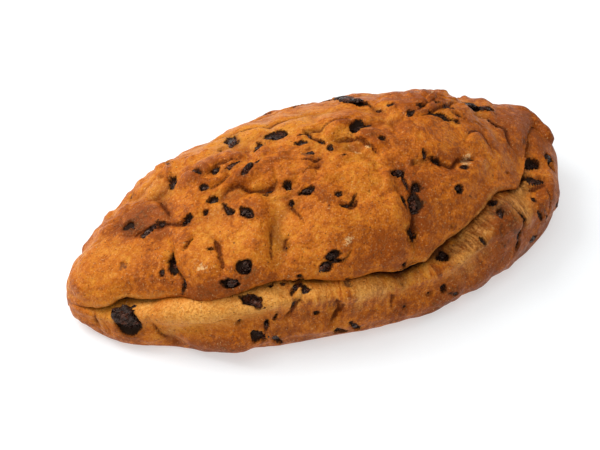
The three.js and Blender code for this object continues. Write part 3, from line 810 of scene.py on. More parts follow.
class RaisinPlaces:
    """Where the raisins lie: those that the front and the top show, and strewn ones elsewhere.

    A row holds a Raisin's fields in their order, on the flap and on the lower layer.
    """

    FLAP = (
        (-89, 15, 13, 4.5, 88), (-94, 11.5, 3, 2, 60), (-86, 6, 7, 2, 85), (-103.5, 43, 8, 6.5, -60, 0.3),
        (-101, 39, 6, 4, 40, 0.4), (-95.5, 35, 8.5, 4.2, 28), (-88, 41, 3, 2, 0),
        (-76, 41.2, 5.5, 2.6, 28), (-66, 46, 3.6, 2, 45), (-61, 52.5, 5, 2.8, 15),
        (-62.5, 60.5, 4, 2, -10), (-56, 44.5, 7.5, 2.8, 95), (-54, 40, 2, 1.5, 0),
        (-48, 36.5, 8, 4.4, -62), (-53, 69.5, 6.5, 2.8, 12, 0.15), (-44.5, 68, 8, 2.4, 10, 0.3),
        (-62.5, 71, 7.5, 3, -68, 0.1), (-75, 74, 10, 6, 70, 0.15), (-72, 90, 11, 2.2, 84, 0.3),
        (-78, 80, 4, 3, 60, 0.3), (-95, 77, 5, 2.5, 50, 0.4), (-57, 10.5, 8, 7.5, 0),
        (-64.5, 5.5, 7, 4.5, 0), (-38, 97.5, 12, 7, 80, 0, 0.3), (-46, 87, 4.5, 2.6, 60, 0.4),
        (-17.3, 91, 13.5, 8.5, 0, 0, 0.2), (-28.3, 80.8, 6.5, 4.6, 50, 0, 0.5),
        (-2, 85.5, 6.5, 3, -65, 0.2), (-6, 85, 3, 1.5, 0), (-7.5, 79, 5.5, 2.2, -10), (2, 79, 3.5, 2, -50),
        (25, 87.5, 12.5, 6.5, 8, 0, 0.3), (19.5, 84, 4, 2, -40, 0.3), (34, 89, 3.5, 1.6, 0, 0.4),
        (31.5, 73, 5, 3.6, -25), (5, 72.5, 5, 2.4, 65), (-7.5, 68.5, 9, 6.5, 25, 0.66),
        (-6, 74, 3, 2, 20, 0.4), (-39, 62.5, 9.5, 3.2, 40), (-33, 67, 4, 1.4, 45),
        (-23.5, 51.8, 4.4, 3.8, 20), (-15.5, 47, 7, 3.8, -25), (-35.5, 48, 8, 4, 20, 0.55),
        (-25, 42, 2, 2, 0), (1.5, 37.5, 8.5, 7.5, 60, 0.9), (-2, 41, 2.5, 2, 0), (-15, 11.5, 6.5, 3.5, 0),
        (-13, 8.5, 5, 1.5, 0), (-19, 5.5, 6, 5, 30), (-32, 1.5, 2, 1, 0), (30, 17, 10, 6, 80, 0.5),
        (32.5, 51.5, 6.5, 4, -25), (40, 37, 5.5, 4.2, 70), (36, 30, 11, 6.5, 80), (30, 35, 6.5, 1.6, 80),
        (53, 6, 4, 3.5, 0, 0.3), (62, 21.5, 6, 4, -30), (67, 13, 3, 1.5, -50), (56.2, 40.5, 5, 1.8, -60),
        (50, 45, 4, 1.6, -30, 0.45), (50, 49, 4, 1.5, 80), (43, 48, 4, 2.5, 0, 0.3),
        (46, 46, 3, 1.5, -40, 0.4), (53.5, 75, 4, 3, 0), (62, 74, 4, 2.5, -10), (69.5, 60, 16, 3, -35),
        (75, 62, 9, 2.4, -33), (81, 49, 8, 2, -45, 0.3), (91, 40, 8, 3.5, -10, 0.5), (70, 26, 5, 2, -25),
        (77, 24, 4, 2, -40, 0.3), (98, 8, 3, 2.5, 0, 0.4), (41, 92, 7, 2, -60, 0.3), (47, 89, 3.5, 3, 0),
        (31, 112, 16, 5, -57, 0, 1.5), (31, 127, 12, 4, -50, 0, 1.2), (71, 97, 9, 4, 0, 0, 1),
        (101, 66, 15, 5.5, -38, 0, 1.6), (108, 53, 7.5, 3.5, -50, 0, 0.8),
        (107.5, 35.5, 10, 4.5, -68, 0, 0.4), (0, 35.6, 4.5, 1.1, -8), (118, 6, 5, 4, -40, 0.8),
        (35, 45, 7, 1.6, 85, 0.1), (22, 3.5, 5, 4.5, 0), (-112, 16.5, 5, 4, 60, 0.7),
        (-106, 9.5, 3, 2, 0, 0.7), (-100.5, 10.5, 4, 2.5, 0, 0.7), (-70, 23, 2.6, 1.6, 0),
        (-60, 28, 2, 1, 40, 0.3), (9, 66, 1.5, 1, 0), (4.3, 38.2, 5.5, 1.2, 55), (-34, 17, 3, 1, 60, 0.2),
        (136, 5, 4, 3, 10, 0.8),
    )
    LAYER = (
        (-115.3, 17.6, 14.5, 14, 85, 0, 0.7), (-56.5, 15.5, 13, 5.6, -40), (-34, 14, 6, 4, 40),
        (-30.5, 17, 4, 3, 0), (-46, 32, 4.5, 1.6, 70), (-51.5, 36, 5.5, 1.8, 75),
        (-55, 40.5, 10, 4.2, -45), (-47.5, 48.5, 8.5, 5, -60), (-64, 26, 3, 2, 0, 0.3),
        (-38, 27, 5, 2, 70), (-9, 16, 5, 4, 80, 0.65), (-17, 28, 8.5, 5.5, 72, 0.8), (-26, 34, 2, 1.5, 0),
        (-46, 12, 2, 1, 0), (-43, 11, 2, 1, 0), (-40, 12, 2, 1, 0), (68.8, 26.8, 3.6, 1.8, 85),
        (83, 27, 5, 4, 60), (83, 20, 5, 4.5, 0), (95.5, 31, 4, 2, -50), (82, 34, 7, 3, 80, 0.4),
        (93, 44, 10, 3.2, 85, 0.1), (44, 38.5, 3.5, 2.5, 60), (50, 46, 5, 3, -30), (36, 35, 3, 2, 0, 0.3),
        (15, 45, 2.5, 2, 0, 0.5), (-6, 45.5, 6, 3.5, -60), (119, 19.5, 12, 7.5, -50, 0, 0.4),
        (114, 22, 15, 4.5, -68, 0.25), (132, 29, 6.5, 5, 0, 0, 0.3), (131, 36, 6, 3.5, 80, 0.3),
        (109, 28, 3.5, 2, 60), (114, 43, 12, 6, -75, 0.8), (110, 39, 9, 1.6, -80), (116, 51, 6, 1.8, -50),
        (129, 58, 7, 5, -30, 0, 0.3), (106, 48, 6.5, 4, -20, 0, 0.3), (-14, 48, 8, 4, -40),
        (46.5, 17, 11, 5.5, 72, 0.2), (21, 35, 2.5, 2, 0, 0.3), (-35, 2, 5, 3, -60),
    )
    STREWN_COUNT = 28
    STREWN_LONGEST = 11.0
    STREWN_SHORTEST = 7.0
    CLEARANCE = 5.0
    STREWN_REACH = 0.88
    STREWN_FROM = 138.0
    STREWN_TO = 182.0
    SLIMMEST = 0.55
    ROUNDER = 0.3

    def __init__(self, lines: LoafLines) -> None:
        """Lists the raisins.

        Args:
            lines: the loaf's lines.
        """
        seen = [Raisin(*row) for row in self.FLAP]
        seen += [Raisin(*row, sheet=Sheet.LAYER) for row in self.LAYER]
        self.all = seen + self.strewn(lines, seen)

    def strewn(self, lines: LoafLines, placed: list[Raisin]) -> list[Raisin]:
        """Raisins of the unseen sides, largest first, at evenly spread places, none too near another.

        Place k is the fractional part of 0.5 + k times the plastic number's inverse powers.

        Args:
            lines: the loaf's lines.
            placed: raisins that are already there.

        Returns:
            The strewn raisins.
        """
        made: list[Raisin] = []
        for k in range(1, 20 * self.STREWN_COUNT):
            if len(made) == self.STREWN_COUNT:
                break
            along, across = (0.5 + k / PLASTIC) % 1, (0.5 + k / PLASTIC**2) % 1
            share = len(made) / self.STREWN_COUNT
            length = self.STREWN_LONGEST + (self.STREWN_SHORTEST - self.STREWN_LONGEST) * share
            x = (along - 0.5) * self.STREWN_REACH * lines.length
            reach = math.sin(math.acos(-2 * x / lines.length))
            way = reach * (self.STREWN_FROM + (self.STREWN_TO - self.STREWN_FROM) * across)
            width = length * (self.SLIMMEST + self.ROUNDER * ((7 * along) % 1))
            turn = 180 * ((5 * across) % 1)
            near = any(
                math.hypot(one.x - x, one.way - way) < (one.length + length) / 2 + self.CLEARANCE
                for one in placed + made
                if one.sheet is Sheet.FLAP
            )
            if not near:
                made.append(Raisin(x, way, length, width, turn))
        return made


def object_from_arrays(
    name: str, points: Array, faces: list[Array], smooth_faces: bool = True
) -> bpy.types.Object:
    """A mesh object from whole arrays, put into the scene.

    Args:
        name: the piece's name.
        points: vertices in mm, of shape (n, 3).
        faces: arrays of vertex indices, of shape (m, 3) or (m, 4).
        smooth_faces: whether the faces are shaded smooth.

    Returns:
        The new object, at the origin.
    """
    mesh = bpy.data.meshes.new(name)
    loops = np.concatenate([part.ravel() for part in faces]).astype(np.int32)
    sizes = np.concatenate([np.full(len(part), part.shape[1]) for part in faces]).astype(np.int32)
    starts = np.concatenate([[0], np.cumsum(sizes)[:-1]]).astype(np.int32)
    mesh.vertices.add(len(points))
    mesh.vertices.foreach_set("co", (points * MM).astype(np.float32).ravel())
    mesh.loops.add(len(loops))
    mesh.loops.foreach_set("vertex_index", loops)
    mesh.polygons.add(len(sizes))
    mesh.polygons.foreach_set("loop_start", starts)
    mesh.update(calc_edges=True)
    mesh.polygons.foreach_set("use_smooth", np.full(len(sizes), smooth_faces))
    mesh.validate()
    made = bpy.data.objects.new(name, mesh)
    bpy.context.scene.collection.objects.link(made)
    return made


def closed_rings(rows: int, ring: int) -> list[Array]:
    """Faces of a closed shape of rings: quads between neighbours and a fan to each end's point.

    The two end points come after the points of the rings, the first ring's end point first.

    Args:
        rows: number of rings.
        ring: points in a ring.

    Returns:
        Quads and triangles, facing out.
    """
    index = np.arange(rows * ring).reshape(rows, ring)
    after = np.roll(index, -1, 1)
    quads = np.stack([index[:-1], index[1:], after[1:], after[:-1]], -1).reshape(-1, 4)
    first = np.stack([np.full(ring, rows * ring), index[0], after[0]], -1)
    last = np.stack([np.full(ring, rows * ring + 1), after[-1], index[-1]], -1)
    return [quads, np.concatenate([first, last])]


def add_attribute(piece: bpy.types.Object, name: str, values: Array) -> None:
    """Stores one number, or a vector of three, for each vertex.

    Args:
        piece: the object whose mesh takes them.
        name: the attribute's name.
        values: of shape (n,) or (n, 3).
    """
    kind, key = ("FLOAT", "value") if values.ndim == 1 else ("FLOAT_VECTOR", "vector")
    layer = piece.data.attributes.new(name, kind, "POINT")
    layer.data.foreach_set(key, values.astype(np.float32).ravel())


@dataclass(frozen=True)
class Grain:
    """A noise of a material: its longest wave in mm, finer noises, their strength and its twist."""

    wave: float
    detail: float = 2.0
    rough: float = 0.5
    twist: float = 0.0


@dataclass(frozen=True)
class Rise:
    """An eased rise of a share: the values where it starts and ends, and the shares there."""

    start: float
    end: float
    low: float = 0.0
    high: float = 1.0


@dataclass(frozen=True)
class Overlay:
    """A colour laid over the crust where a noise rises, or where an attribute does that it frays.

    what only names it. Where attribute is given, the noise, made to swing round 0 and multiplied by
    fray, is added to that attribute. scale stretches the noise's coordinates.
    """

    what: str
    colour: Colour
    grain: Grain
    rise: Rise
    attribute: str = ""
    fray: float = 0.0
    scale: tuple[float, float, float] = (1.0, 1.0, 1.0)


class Nodes:
    """A short hand for a material's node tree."""

    def __init__(self, name: str) -> None:
        """Makes a material with a Principled shader.

        Args:
            name: the material's name.
        """
        self.material = bpy.data.materials.new(name)
        self.material.use_nodes = True
        self.tree = self.material.node_tree
        self.coords = self.tree.nodes.new("ShaderNodeTexCoord").outputs["Object"]

    def put(self, socket: Socket, value: object) -> None:
        """Links a socket to an output, or sets its value.

        Args:
            socket: the input socket.
            value: an output socket, a number or a colour.
        """
        if isinstance(value, Socket):
            self.tree.links.new(value, socket)
        else:
            socket.default_value = value

    def node(self, kind: str, output: str, inputs: dict[object, object], **settings: object) -> Socket:
        """Adds a node.

        Args:
            kind: its type, without the word ShaderNode before it.
            output: the wanted output.
            inputs: what goes into its inputs.
            settings: its own settings.

        Returns:
            The wanted output.
        """
        node = self.tree.nodes.new("ShaderNode" + kind)
        for name, value in settings.items():
            setattr(node, name, value)
        for key, value in inputs.items():
            self.put(node.inputs[key], value)
        return node.outputs[output]

    def shade(self, inputs: dict[str, object]) -> bpy.types.Material:
        """Puts values and outputs into the shader's own sockets.

        Args:
            inputs: what goes into each.

        Returns:
            The material.
        """
        shader = self.tree.nodes["Principled BSDF"]
        for name, value in inputs.items():
            self.put(shader.inputs[name], value)
        return self.material

    def attribute(self, name: str, output: str = "Fac") -> Socket:
        """A mesh attribute's number, or its vector where the output is Vector."""
        return self.node("Attribute", output, {}, attribute_name=name)

    def noise(self, grain: Grain, vector: Socket | None = None) -> Socket:
        """A noise's factor on the object's coordinates or on others.

        Args:
            grain: the noise's sizes.
            vector: other coordinates.

        Returns:
            Values round 0.5.
        """
        inputs = {"Vector": self.coords if vector is None else vector, "Scale": 1.0 / (grain.wave * MM)}
        inputs |= {"Detail": grain.detail, "Roughness": grain.rough, "Distortion": grain.twist}
        return self.node("TexNoise", "Fac", inputs)

    def scaled(self, vector: Socket, scale: tuple[float, float, float]) -> Socket:
        """Coordinates stretched along their axes."""
        return self.node("Mapping", "Vector", {"Vector": vector, "Scale": scale})

    def ramp(self, value: Socket, rise: Rise) -> Socket:
        """A number's share of an eased rise."""
        ends = {"From Min": rise.start, "From Max": rise.end, "To Min": rise.low, "To Max": rise.high}
        return self.node("MapRange", "Result", {"Value": value} | ends, interpolation_type="SMOOTHSTEP")

    def math(self, operation: str, first: object, second: object = 0.0) -> Socket:
        """Two numbers combined by one of Blender's operations."""
        return self.node("Math", "Value", {0: first, 1: second}, operation=operation)

    def times(self, first: object, second: object) -> Socket:
        """Product of two numbers."""
        return self.math("MULTIPLY", first, second)

    def centred(self, factor: Socket, strength: float) -> Socket:
        """A factor made to swing round 0, times a strength."""
        return self.times(self.math("SUBTRACT", factor, 0.5), strength)

    def frayed(self, name: str, grain: Grain, strength: float) -> Socket:
        """A mesh attribute with a noise added that swings round 0."""
        return self.math("ADD", self.attribute(name), self.centred(self.noise(grain), strength))

    def valleys(self, grain: Grain, rise: Rise) -> Socket:
        """A noise folded at its middle, so that it is round on top and sharp in its valleys."""
        return self.ramp(self.math("ABSOLUTE", self.math("SUBTRACT", self.noise(grain), 0.5)), rise)

    def sum(self, first: Socket, *others: Socket) -> Socket:
        """Sum of several values.

        Args:
            first: the first value.
            others: the values added to it.

        Returns:
            Their sum.
        """
        for other in others:
            first = self.math("ADD", first, other)
        return first

    def blend(self, share: object, low: object, high: object) -> Socket:
        """Mix of two numbers, by the share of the second."""
        return self.node("Mix", "Result", {"Factor": share, "A": low, "B": high})

    def mix(self, share: object, low: object, high: object) -> Socket:
        """Mix of two colours, by the share of the second."""
        return self.node("Mix", "Result", {"Factor": share, "A": low, "B": high}, data_type="RGBA")

    def bump(self, height: Socket, strength: float, distance: float, below: Socket | None = None) -> Socket:
        """Bump on the shader's normal.

        Args:
            height: its height, 0 to 1.
            strength: how strongly it acts.
            distance: what a height of 1 stands for, in mm.
            below: a bump that it lies on.

        Returns:
            The bent normal.
        """
        inputs = {"Strength": strength, "Distance": distance * MM, "Height": height}
        if below is not None:
            inputs["Normal"] = below
        return self.node("Bump", "Normal", inputs)


def srgb(red: int, green: int, blue: int) -> Colour:
    """Scene colour, with alpha 1, of a screen colour from 0 to 255, by the sRGB curve."""
    screen = (red / 255, green / 255, blue / 255)
    return (*(v / 12.92 if v <= 0.04045 else ((v + 0.055) / 1.055) ** 2.4 for v in screen), 1.0)


@dataclass(frozen=True)
class CrustFinish:
    """Baked crust: mottled gold and brown satin skin, paler porous crumb along the crease, and painted
    shade in creases, folds and under the lip.

    The colours come first, then the noises by what they draw, where each of them shows, and what
    is laid over the crust's colour.
    """

    gold: Colour = srgb(216, 137, 39)
    orange: Colour = srgb(191, 100, 14)
    brown: Colour = srgb(144, 66, 7)
    dark: Colour = srgb(79, 36, 8)
    # hollow: painted shade, laid into creases, folds and the crease under the lip
    hollow: Colour = srgb(97, 38, 5)
    crumb: Colour = srgb(238, 166, 76)
    crumb_shade: Colour = srgb(214, 132, 46)
    tan: Colour = srgb(226, 152, 74)
    tan_shade: Colour = srgb(146, 78, 26)
    pale: Colour = srgb(236, 196, 136)
    # char: dark skin inside raisin tears, and painted shade deep in the crease
    tear_dark_and_crease_shade: Colour = srgb(34, 16, 8)
    veil: Colour = srgb(98, 60, 38)
    specular: float = 0.19
    specular_tint: Colour = (1.0, 0.79, 0.56, 1.0)
    broad: Grain = Grain(30, 2.0, 0.5, 0.6)
    mottle: Grain = Grain(8, 4.0, 0.62, 0.5)
    marble: Grain = Grain(9, 4.0, 0.65, 2.2)
    fine: Grain = Grain(2.0, 4.0, 0.72)
    streak: Grain = Grain(3.0, 4.0, 0.7, 0.4)
    fibre: Grain = Grain(1.5, 5.0, 0.72, 0.2)
    pore: Grain = Grain(1.4, 3.0, 0.7, 0.4)
    scorch: Grain = Grain(4.5, 3.0, 0.62, 1.0)
    edge: Grain = Grain(1.3, 3.0, 0.65, 0.6)
    lump: Grain = Grain(4.5, 5.0, 0.62, 0.6)
    blister: Grain = Grain(2.6, 3.0, 0.6, 0.8)
    grit: Grain = Grain(1.3, 4.0, 0.75)
    streak_stretch: float = 0.2
    fibre_stretch: float = 0.16
    gold_to_orange: Rise = Rise(-0.25, 0.6)
    orange_to_brown: Rise = Rise(0.4, 0.95)
    brown_to_dark: Rise = Rise(0.95, 1.7)
    crumb_edge: Rise = Rise(0.05, 1.0)
    crumb_grain: Rise = Rise(0.37, 0.57)
    scorched: Rise = Rise(0.48, 0.62, 0.0, 0.65)
    bright_fibre: Rise = Rise(0.6, 0.72, 0.0, 0.5)
    roughness: Rise = Rise(0.3, 0.7, 0.36, 0.56)
    blistered: Rise = Rise(0.0, 0.14)
    slit_drop: Rise = Rise(0.3, 1.8)
    tear_drop: Rise = Rise(-0.4, 0.5)
    painted_shade_strength: float = 0.95
    crumb_bump: Range = (0.3, 1.0)
    edge_fray: float = 2.2
    overlays: tuple[Overlay, ...] = (
        Overlay("freckles", brown, Grain(2.4, 3.0, 0.65), Rise(0.58, 0.68, 0.0, 0.3)),
        Overlay("specks", dark, Grain(1.3, 1.0), Rise(0.68, 0.75, 0.0, 0.8)),
        Overlay("flecks", pale, Grain(1.0, 1.0), Rise(0.68, 0.76, 0.0, 0.42), scale=(1.0, 1.0, -1.0)),
        Overlay("pale sand", pale, Grain(0.9, 2.0, 0.6), Rise(0.52, 0.72, 0.0, 0.15)),
        Overlay("brown sand", brown, Grain(0.9, 2.0, 0.6), Rise(0.3, 0.47, 0.38, 0.0)),
        Overlay("spots", pale, Grain(1.2, 3.0, 0.7), Rise(0.45, 0.9, 0.0, 0.7), "pale", 2.4),
        Overlay("raisins under thin skin", veil, fine, Rise(0.25, 0.9, 0.0, 0.75), "veiled", 2.2),
        Overlay("stains", dark, fine, Rise(0.15, 1.0, 0.0, 0.42), "stain", 1.0),
        # slits: painted shade along the folds' lines
        Overlay("slits", hollow, edge, Rise(0.7, 2.1, 0.9, 0.0), "slit", edge_fray),
        # where the tear distance is the crease's, these two paint its shade dark and black
        Overlay("rims of tears", dark, edge, Rise(-0.1, 0.6, 0.9, 0.0), "tear", edge_fray),
        Overlay("inside of tears", tear_dark_and_crease_shade, edge, Rise(-0.35, 0.2, 1.0, 0.0), "tear", edge_fray),
    )

    def material(self) -> bpy.types.Material:
        """Colour from the browning, crumb and painted shade attributes and mottling noises, gloss and
        pores.

        The distances to tears and slits are shifted by fine noise, so that their edges are ragged.

        Returns:
            The material.
        """
        n = Nodes("crust")
        mottle, marble, fine = n.noise(self.mottle), n.noise(self.marble), n.noise(self.fine)
        along = n.attribute("fibre", "Vector")
        streaks = n.noise(self.streak, n.scaled(along, (1.0, self.streak_stretch, 1.0)))
        striped = n.times(n.centred(streaks, 3.4), n.attribute("streaky"))
        level = n.sum(
            n.attribute("toast"), n.centred(n.noise(self.broad), 0.9), n.centred(mottle, 1.3),
            n.centred(marble, 1.3), n.centred(fine, 1.5), striped)
        baked = n.mix(n.ramp(level, self.gold_to_orange), self.gold, self.orange)
        baked = n.mix(n.ramp(level, self.orange_to_brown), baked, self.brown)
        baked = n.mix(n.ramp(level, self.brown_to_dark), baked, self.dark)
        uneven = n.sum(n.centred(mottle, 1.0), n.centred(fine, 0.6), n.times(striped, -0.45))
        crumb_share = n.ramp(n.sum(n.attribute("crumb"), uneven), self.crumb_edge)
        pulled = n.attribute("pulled")
        fibres = n.noise(self.fibre, n.scaled(along, (1.0, self.fibre_stretch, 1.0)))
        grain = n.ramp(n.blend(pulled, n.noise(self.pore), fibres), self.crumb_grain)
        colour = n.mix(crumb_share, baked, self.torn_crumb(n, pulled, fibres, grain))
        # painted shade in folds and in the crease under the lip
        colour = n.mix(n.times(n.attribute("painted_shade"), self.painted_shade_strength), colour, self.hollow)
        torn = n.times(crumb_share, n.blend(pulled, *self.crumb_bump))
        return n.shade({
            "Base Color": self.overlaid(n, colour),
            "Roughness": n.ramp(mottle, self.roughness),
            "Specular IOR Level": self.specular,
            "Specular Tint": self.specular_tint,
            "Normal": n.bump(n.times(grain, torn), 0.8, 0.7, self.skin(n, marble)),
        })

    def torn_crumb(self, n: Nodes, pulled: Socket, fibres: Socket, grain: Socket) -> Socket:
        """Colour of the crumb: golden where it was stretched, tan, scorched and fibrous where pulled.

        Args:
            n: the material's nodes.
            pulled: how far the crumb is pulled.
            fibres: the fibres' noise.
            grain: share of the crumb's light side.

        Returns:
            The colour.
        """
        shade = n.mix(pulled, self.crumb_shade, self.tan_shade)
        crumb = n.mix(grain, shade, n.mix(pulled, self.crumb, self.tan))
        scorched = n.times(n.ramp(n.noise(self.scorch), self.scorched), pulled)
        return n.mix(n.ramp(fibres, self.bright_fibre), n.mix(scorched, crumb, self.brown), self.pale)

    def overlaid(self, n: Nodes, colour: Socket) -> Socket:
        """Lays specks, sand, spots, stains, slits and tears over the colour, one after another.

        Args:
            n: the material's nodes.
            colour: the colour below them.

        Returns:
            The colour with them.
        """
        for over in self.overlays:
            if over.attribute:
                value = n.frayed(over.attribute, over.grain, over.fray)
            else:
                value = n.noise(over.grain, n.scaled(n.coords, over.scale))
            colour = n.mix(n.ramp(value, over.rise), colour, over.colour)
        return colour

    def skin(self, n: Nodes, marble: Socket) -> Socket:
        """Bumps of the skin from broad to fine, each with its strength and its height in mm.

        Args:
            n: the material's nodes.
            marble: the marbling noise.

        Returns:
            The bent normal.
        """
        normal = None
        for height, strength, distance in (
            (marble, 0.6, 2.0),
            (n.noise(self.lump), 0.5, 1.1),
            (n.valleys(self.blister, self.blistered), 0.3, 0.5),
            (n.noise(self.grit), 0.5, 0.4),
            (n.ramp(n.frayed("slit", self.edge, self.edge_fray), self.slit_drop), 0.9, 0.8),
            (n.ramp(n.frayed("tear", self.edge, self.edge_fray), self.tear_drop), 1.0, 0.8),
        ):
            normal = n.bump(height, strength, distance, normal)
        return normal


@dataclass(frozen=True)
class RaisinFinish:
    """Raisin skin: near black, brown where it is thin, wrinkled and faintly glossy."""

    black: Colour = srgb(30, 11, 7)
    brown: Colour = srgb(92, 42, 20)
    specular: float = 0.5
    specular_tint: Colour = (1.0, 0.7, 0.55, 1.0)
    patch: Grain = Grain(4.0, 3.0, 0.6, 0.5)
    dull: Grain = Grain(1.5, 2.0)
    wrinkle: Grain = Grain(3.4, 2.0, 0.5, 1.0)
    crinkle: Grain = Grain(1.2, 2.0, 0.6)
    browned: Rise = Rise(0.48, 0.72)
    roughness: Rise = Rise(0.3, 0.7, 0.14, 0.34)
    wrinkled: Rise = Rise(0.0, 0.3)

    def material(self) -> bpy.types.Material:
        """Black to brown by a noise, with wrinkles that are sharp in their valleys.

        Returns:
            The material.
        """
        n = Nodes("raisin")
        wrinkles = n.bump(n.valleys(self.wrinkle, self.wrinkled), 1.0, 2.4)
        return n.shade({
            "Base Color": n.mix(n.ramp(n.noise(self.patch), self.browned), self.black, self.brown),
            "Roughness": n.ramp(n.noise(self.dull), self.roughness),
            "Specular IOR Level": self.specular,
            "Specular Tint": self.specular_tint,
            "Normal": n.bump(n.noise(self.crinkle), 0.4, 0.5, wrinkles),
        })


class RaisinFrames:
    """Centres and axes of all raisins on the finished crust."""

    def __init__(self, skin: Skin, raisins: list[Raisin]) -> None:
        """Finds every raisin's place on the skin, raised by relief and detail.

        Args:
            skin: the loaf's skin.
            raisins: the raisins.
        """
        found = np.array([skin.find(one.x, one.way, one.sheet) for one in raisins])
        at = skin.places(found[:, 0], found[:, 1:])
        self.out = at.out[:, 0]
        self.centre = at.point[:, 0] + self.out * (skin.relief(at) + skin.detail(at)[0])
        along = at.along[:, 0]
        up = np.cross(self.out, along)
        turn = np.radians([one.turn for one in raisins])[:, None]
        self.long = np.cos(turn) * along + np.sin(turn) * up
        self.wide = np.cross(self.out, self.long)


@dataclass(frozen=True)
class TornSkin:
    """How skin tears round a raisin. Sizes in mm; a ring of 1 is the tear's edge."""

    frames: RaisinFrames
    raisins: list[Raisin]
    noise: LatticeNoise
    depth: float = 2.2
    sheet_thickness: float = 3.5
    rim_height: float = 0.8
    seen_lengths: float = 1.3
    seen_beyond: float = 7.0
    lift_slope: float = 0.05
    other_sheet_slope: float = 2.0
    raggedness: float = 2.1
    ragged_wave: float = 4.2
    full_raggedness: float = 6.0
    veiled_from: float = 0.6
    dip_edge: Range = (0.80, 1.08)
    cover_edge: Range = (0.3, 1.3)
    cover_height: float = 0.9
    rim_start: Range = (-0.3, 0.5)
    rim_end: float = 1.2
    rim_by_width: float = 0.25
    stain_by_width: float = 0.3

    def beyond(self, k: int, away: Array, ragged: Array) -> tuple[Array, Array]:
        """Distance outside the edge of raisin k's tear, and the angle round it.

        It is (sqrt(u^2 + v^2) - 1) * width / 2, with u and v in half lengths and half widths, made
        ragged by noise, most round a raisin of middle width. It grows fast beyond a sheet's
        thickness off the raisin's plane, so that a tear stays on its own sheet.

        Args:
            k: the raisin's number.
            away: points, measured from its centre.
            ragged: noise at the points.

        Returns:
            Distances, less than 0 within the tear, and angles.
        """
        one = self.raisins[k]
        u = away @ self.frames.long[k] / (one.length / 2)
        v = away @ self.frames.wide[k] / (one.width / 2)
        lift = np.abs(away @ self.frames.out[k])
        middling = one.width / self.full_raggedness
        edge = (np.sqrt(u * u + v * v) + self.lift_slope * lift - 1.0) * one.width / 2
        edge = edge + ragged * min(middling, middling**-2)
        edge += self.other_sheet_slope * np.maximum(lift - self.sheet_thickness, 0.0)
        return edge, np.arctan2(v, u)

    def at(self, points: Array) -> tuple[Array, Array, Array, Array]:
        """Dips and rims of the skin round each raisin, and how dark it is stained there.

        The skin dips within a tear's edge. Outside it a rim stands up that is higher on one side
        and crossed by small wrinkles: cosines of the angle round the raisin.

        Args:
            points: crust points.

        Returns:
            Heights, distances outside the nearest tear's edge (less than 0 within it), stain round
            it, and where a raisin shows through thin skin, for each point.
        """
        height = np.zeros(points.shape[:-1])
        tear = np.full_like(height, FAR)
        stain, veiled = np.zeros_like(height), np.zeros_like(height)
        ragged = self.raggedness * self.noise.layered(points, self.ragged_wave, 3, 3.1)
        for k, one in enumerate(self.raisins):
            away = points - self.frames.centre[k]
            near = np.sum(away * away, -1) < (one.length * self.seen_lengths + self.seen_beyond) ** 2
            beyond, angle = self.beyond(k, away[near], ragged[near])
            ring = 1.0 + beyond / (one.width / 2)
            dip = (1.0 - smooth(*self.dip_edge, ring)) * (1.0 - 0.75 * one.cover)
            side = 0.55 + 0.45 * np.cos(angle - 2.4 * k)
            puckers = 0.75 + 0.25 * np.cos((5 + k % 4) * angle + 1.3 * k + 2 * ragged[near])
            rim = 1.0 - smooth(self.rim_start[1], self.rim_end + self.rim_by_width * one.width, beyond)
            rim = smooth(*self.rim_start, beyond) * rim
            depth = min(self.depth, 0.35 * one.width + 0.5)
            rise = self.rim_height * min(1.0, 0.3 + one.width / 6) * side * puckers
            swelling = self.cover_height * one.cover * (1 - smooth(*self.cover_edge, ring))
            height[near] += rise * rim + swelling - depth * dip
            outer = 1.0 - smooth(-0.2, self.rim_end + self.stain_by_width * one.width, beyond)
            outer = outer * (0.4 + 0.6 * side)
            if one.cover > self.veiled_from:
                thin = min(1.0, 3.0 * (1.0 - one.cover))
                veiled[near] = np.maximum(veiled[near], thin * (1.0 - smooth(-1.5, 0.8, beyond)))
                stain[near] = np.maximum(stain[near], 0.4 * outer)
            else:
                tear[near] = np.minimum(tear[near], beyond + 3.0 * one.cover)
                stain[near] = np.maximum(stain[near], outer)
        return height, tear, stain, veiled


@dataclass(frozen=True)
class Browning:
    """How much each thing browns the crust, from 0 for gold to 1 for brown. Heights in mm."""

    everywhere: float = 0.29
    swelling: float = 0.05
    ridge: float = 0.14
    valley: float = -0.06
    foot: float = 0.4
    foot_from: Range = (4.0, 26.0)
    top: float = 0.12
    top_from: Range = (50.0, 74.0)
    right: float = 0.24
    right_from: Range = (20.0, 130.0)

    def at(self, at: SkinPlaces, broad: Array, detail: Array) -> Array:
        """More where the crust stands out or is folded in, on top, at the foot and on the right.

        Args:
            at: places on the skin.
            broad: height of the relief.
            detail: height of the lumps and folds.

        Returns:
            Browning at each place.
        """
        x, z = at.point[..., 0], at.point[..., 2]
        foot = 1.0 - smooth(*self.foot_from, z)
        top, right = smooth(*self.top_from, z), smooth(*self.right_from, x)
        marked = at.share[Sheet.FLAP] * summed(BROWNED_FLAP, x, at.over)
        marked += at.share[Sheet.LAYER] * summed(BROWNED_LAYER, x, at.down)
        raised = self.swelling * broad + self.ridge * np.maximum(detail, 0.0)
        raised = raised + self.valley * np.minimum(detail, 0.0)
        return self.everywhere + raised + self.foot * foot + self.top * top + self.right * right + marked


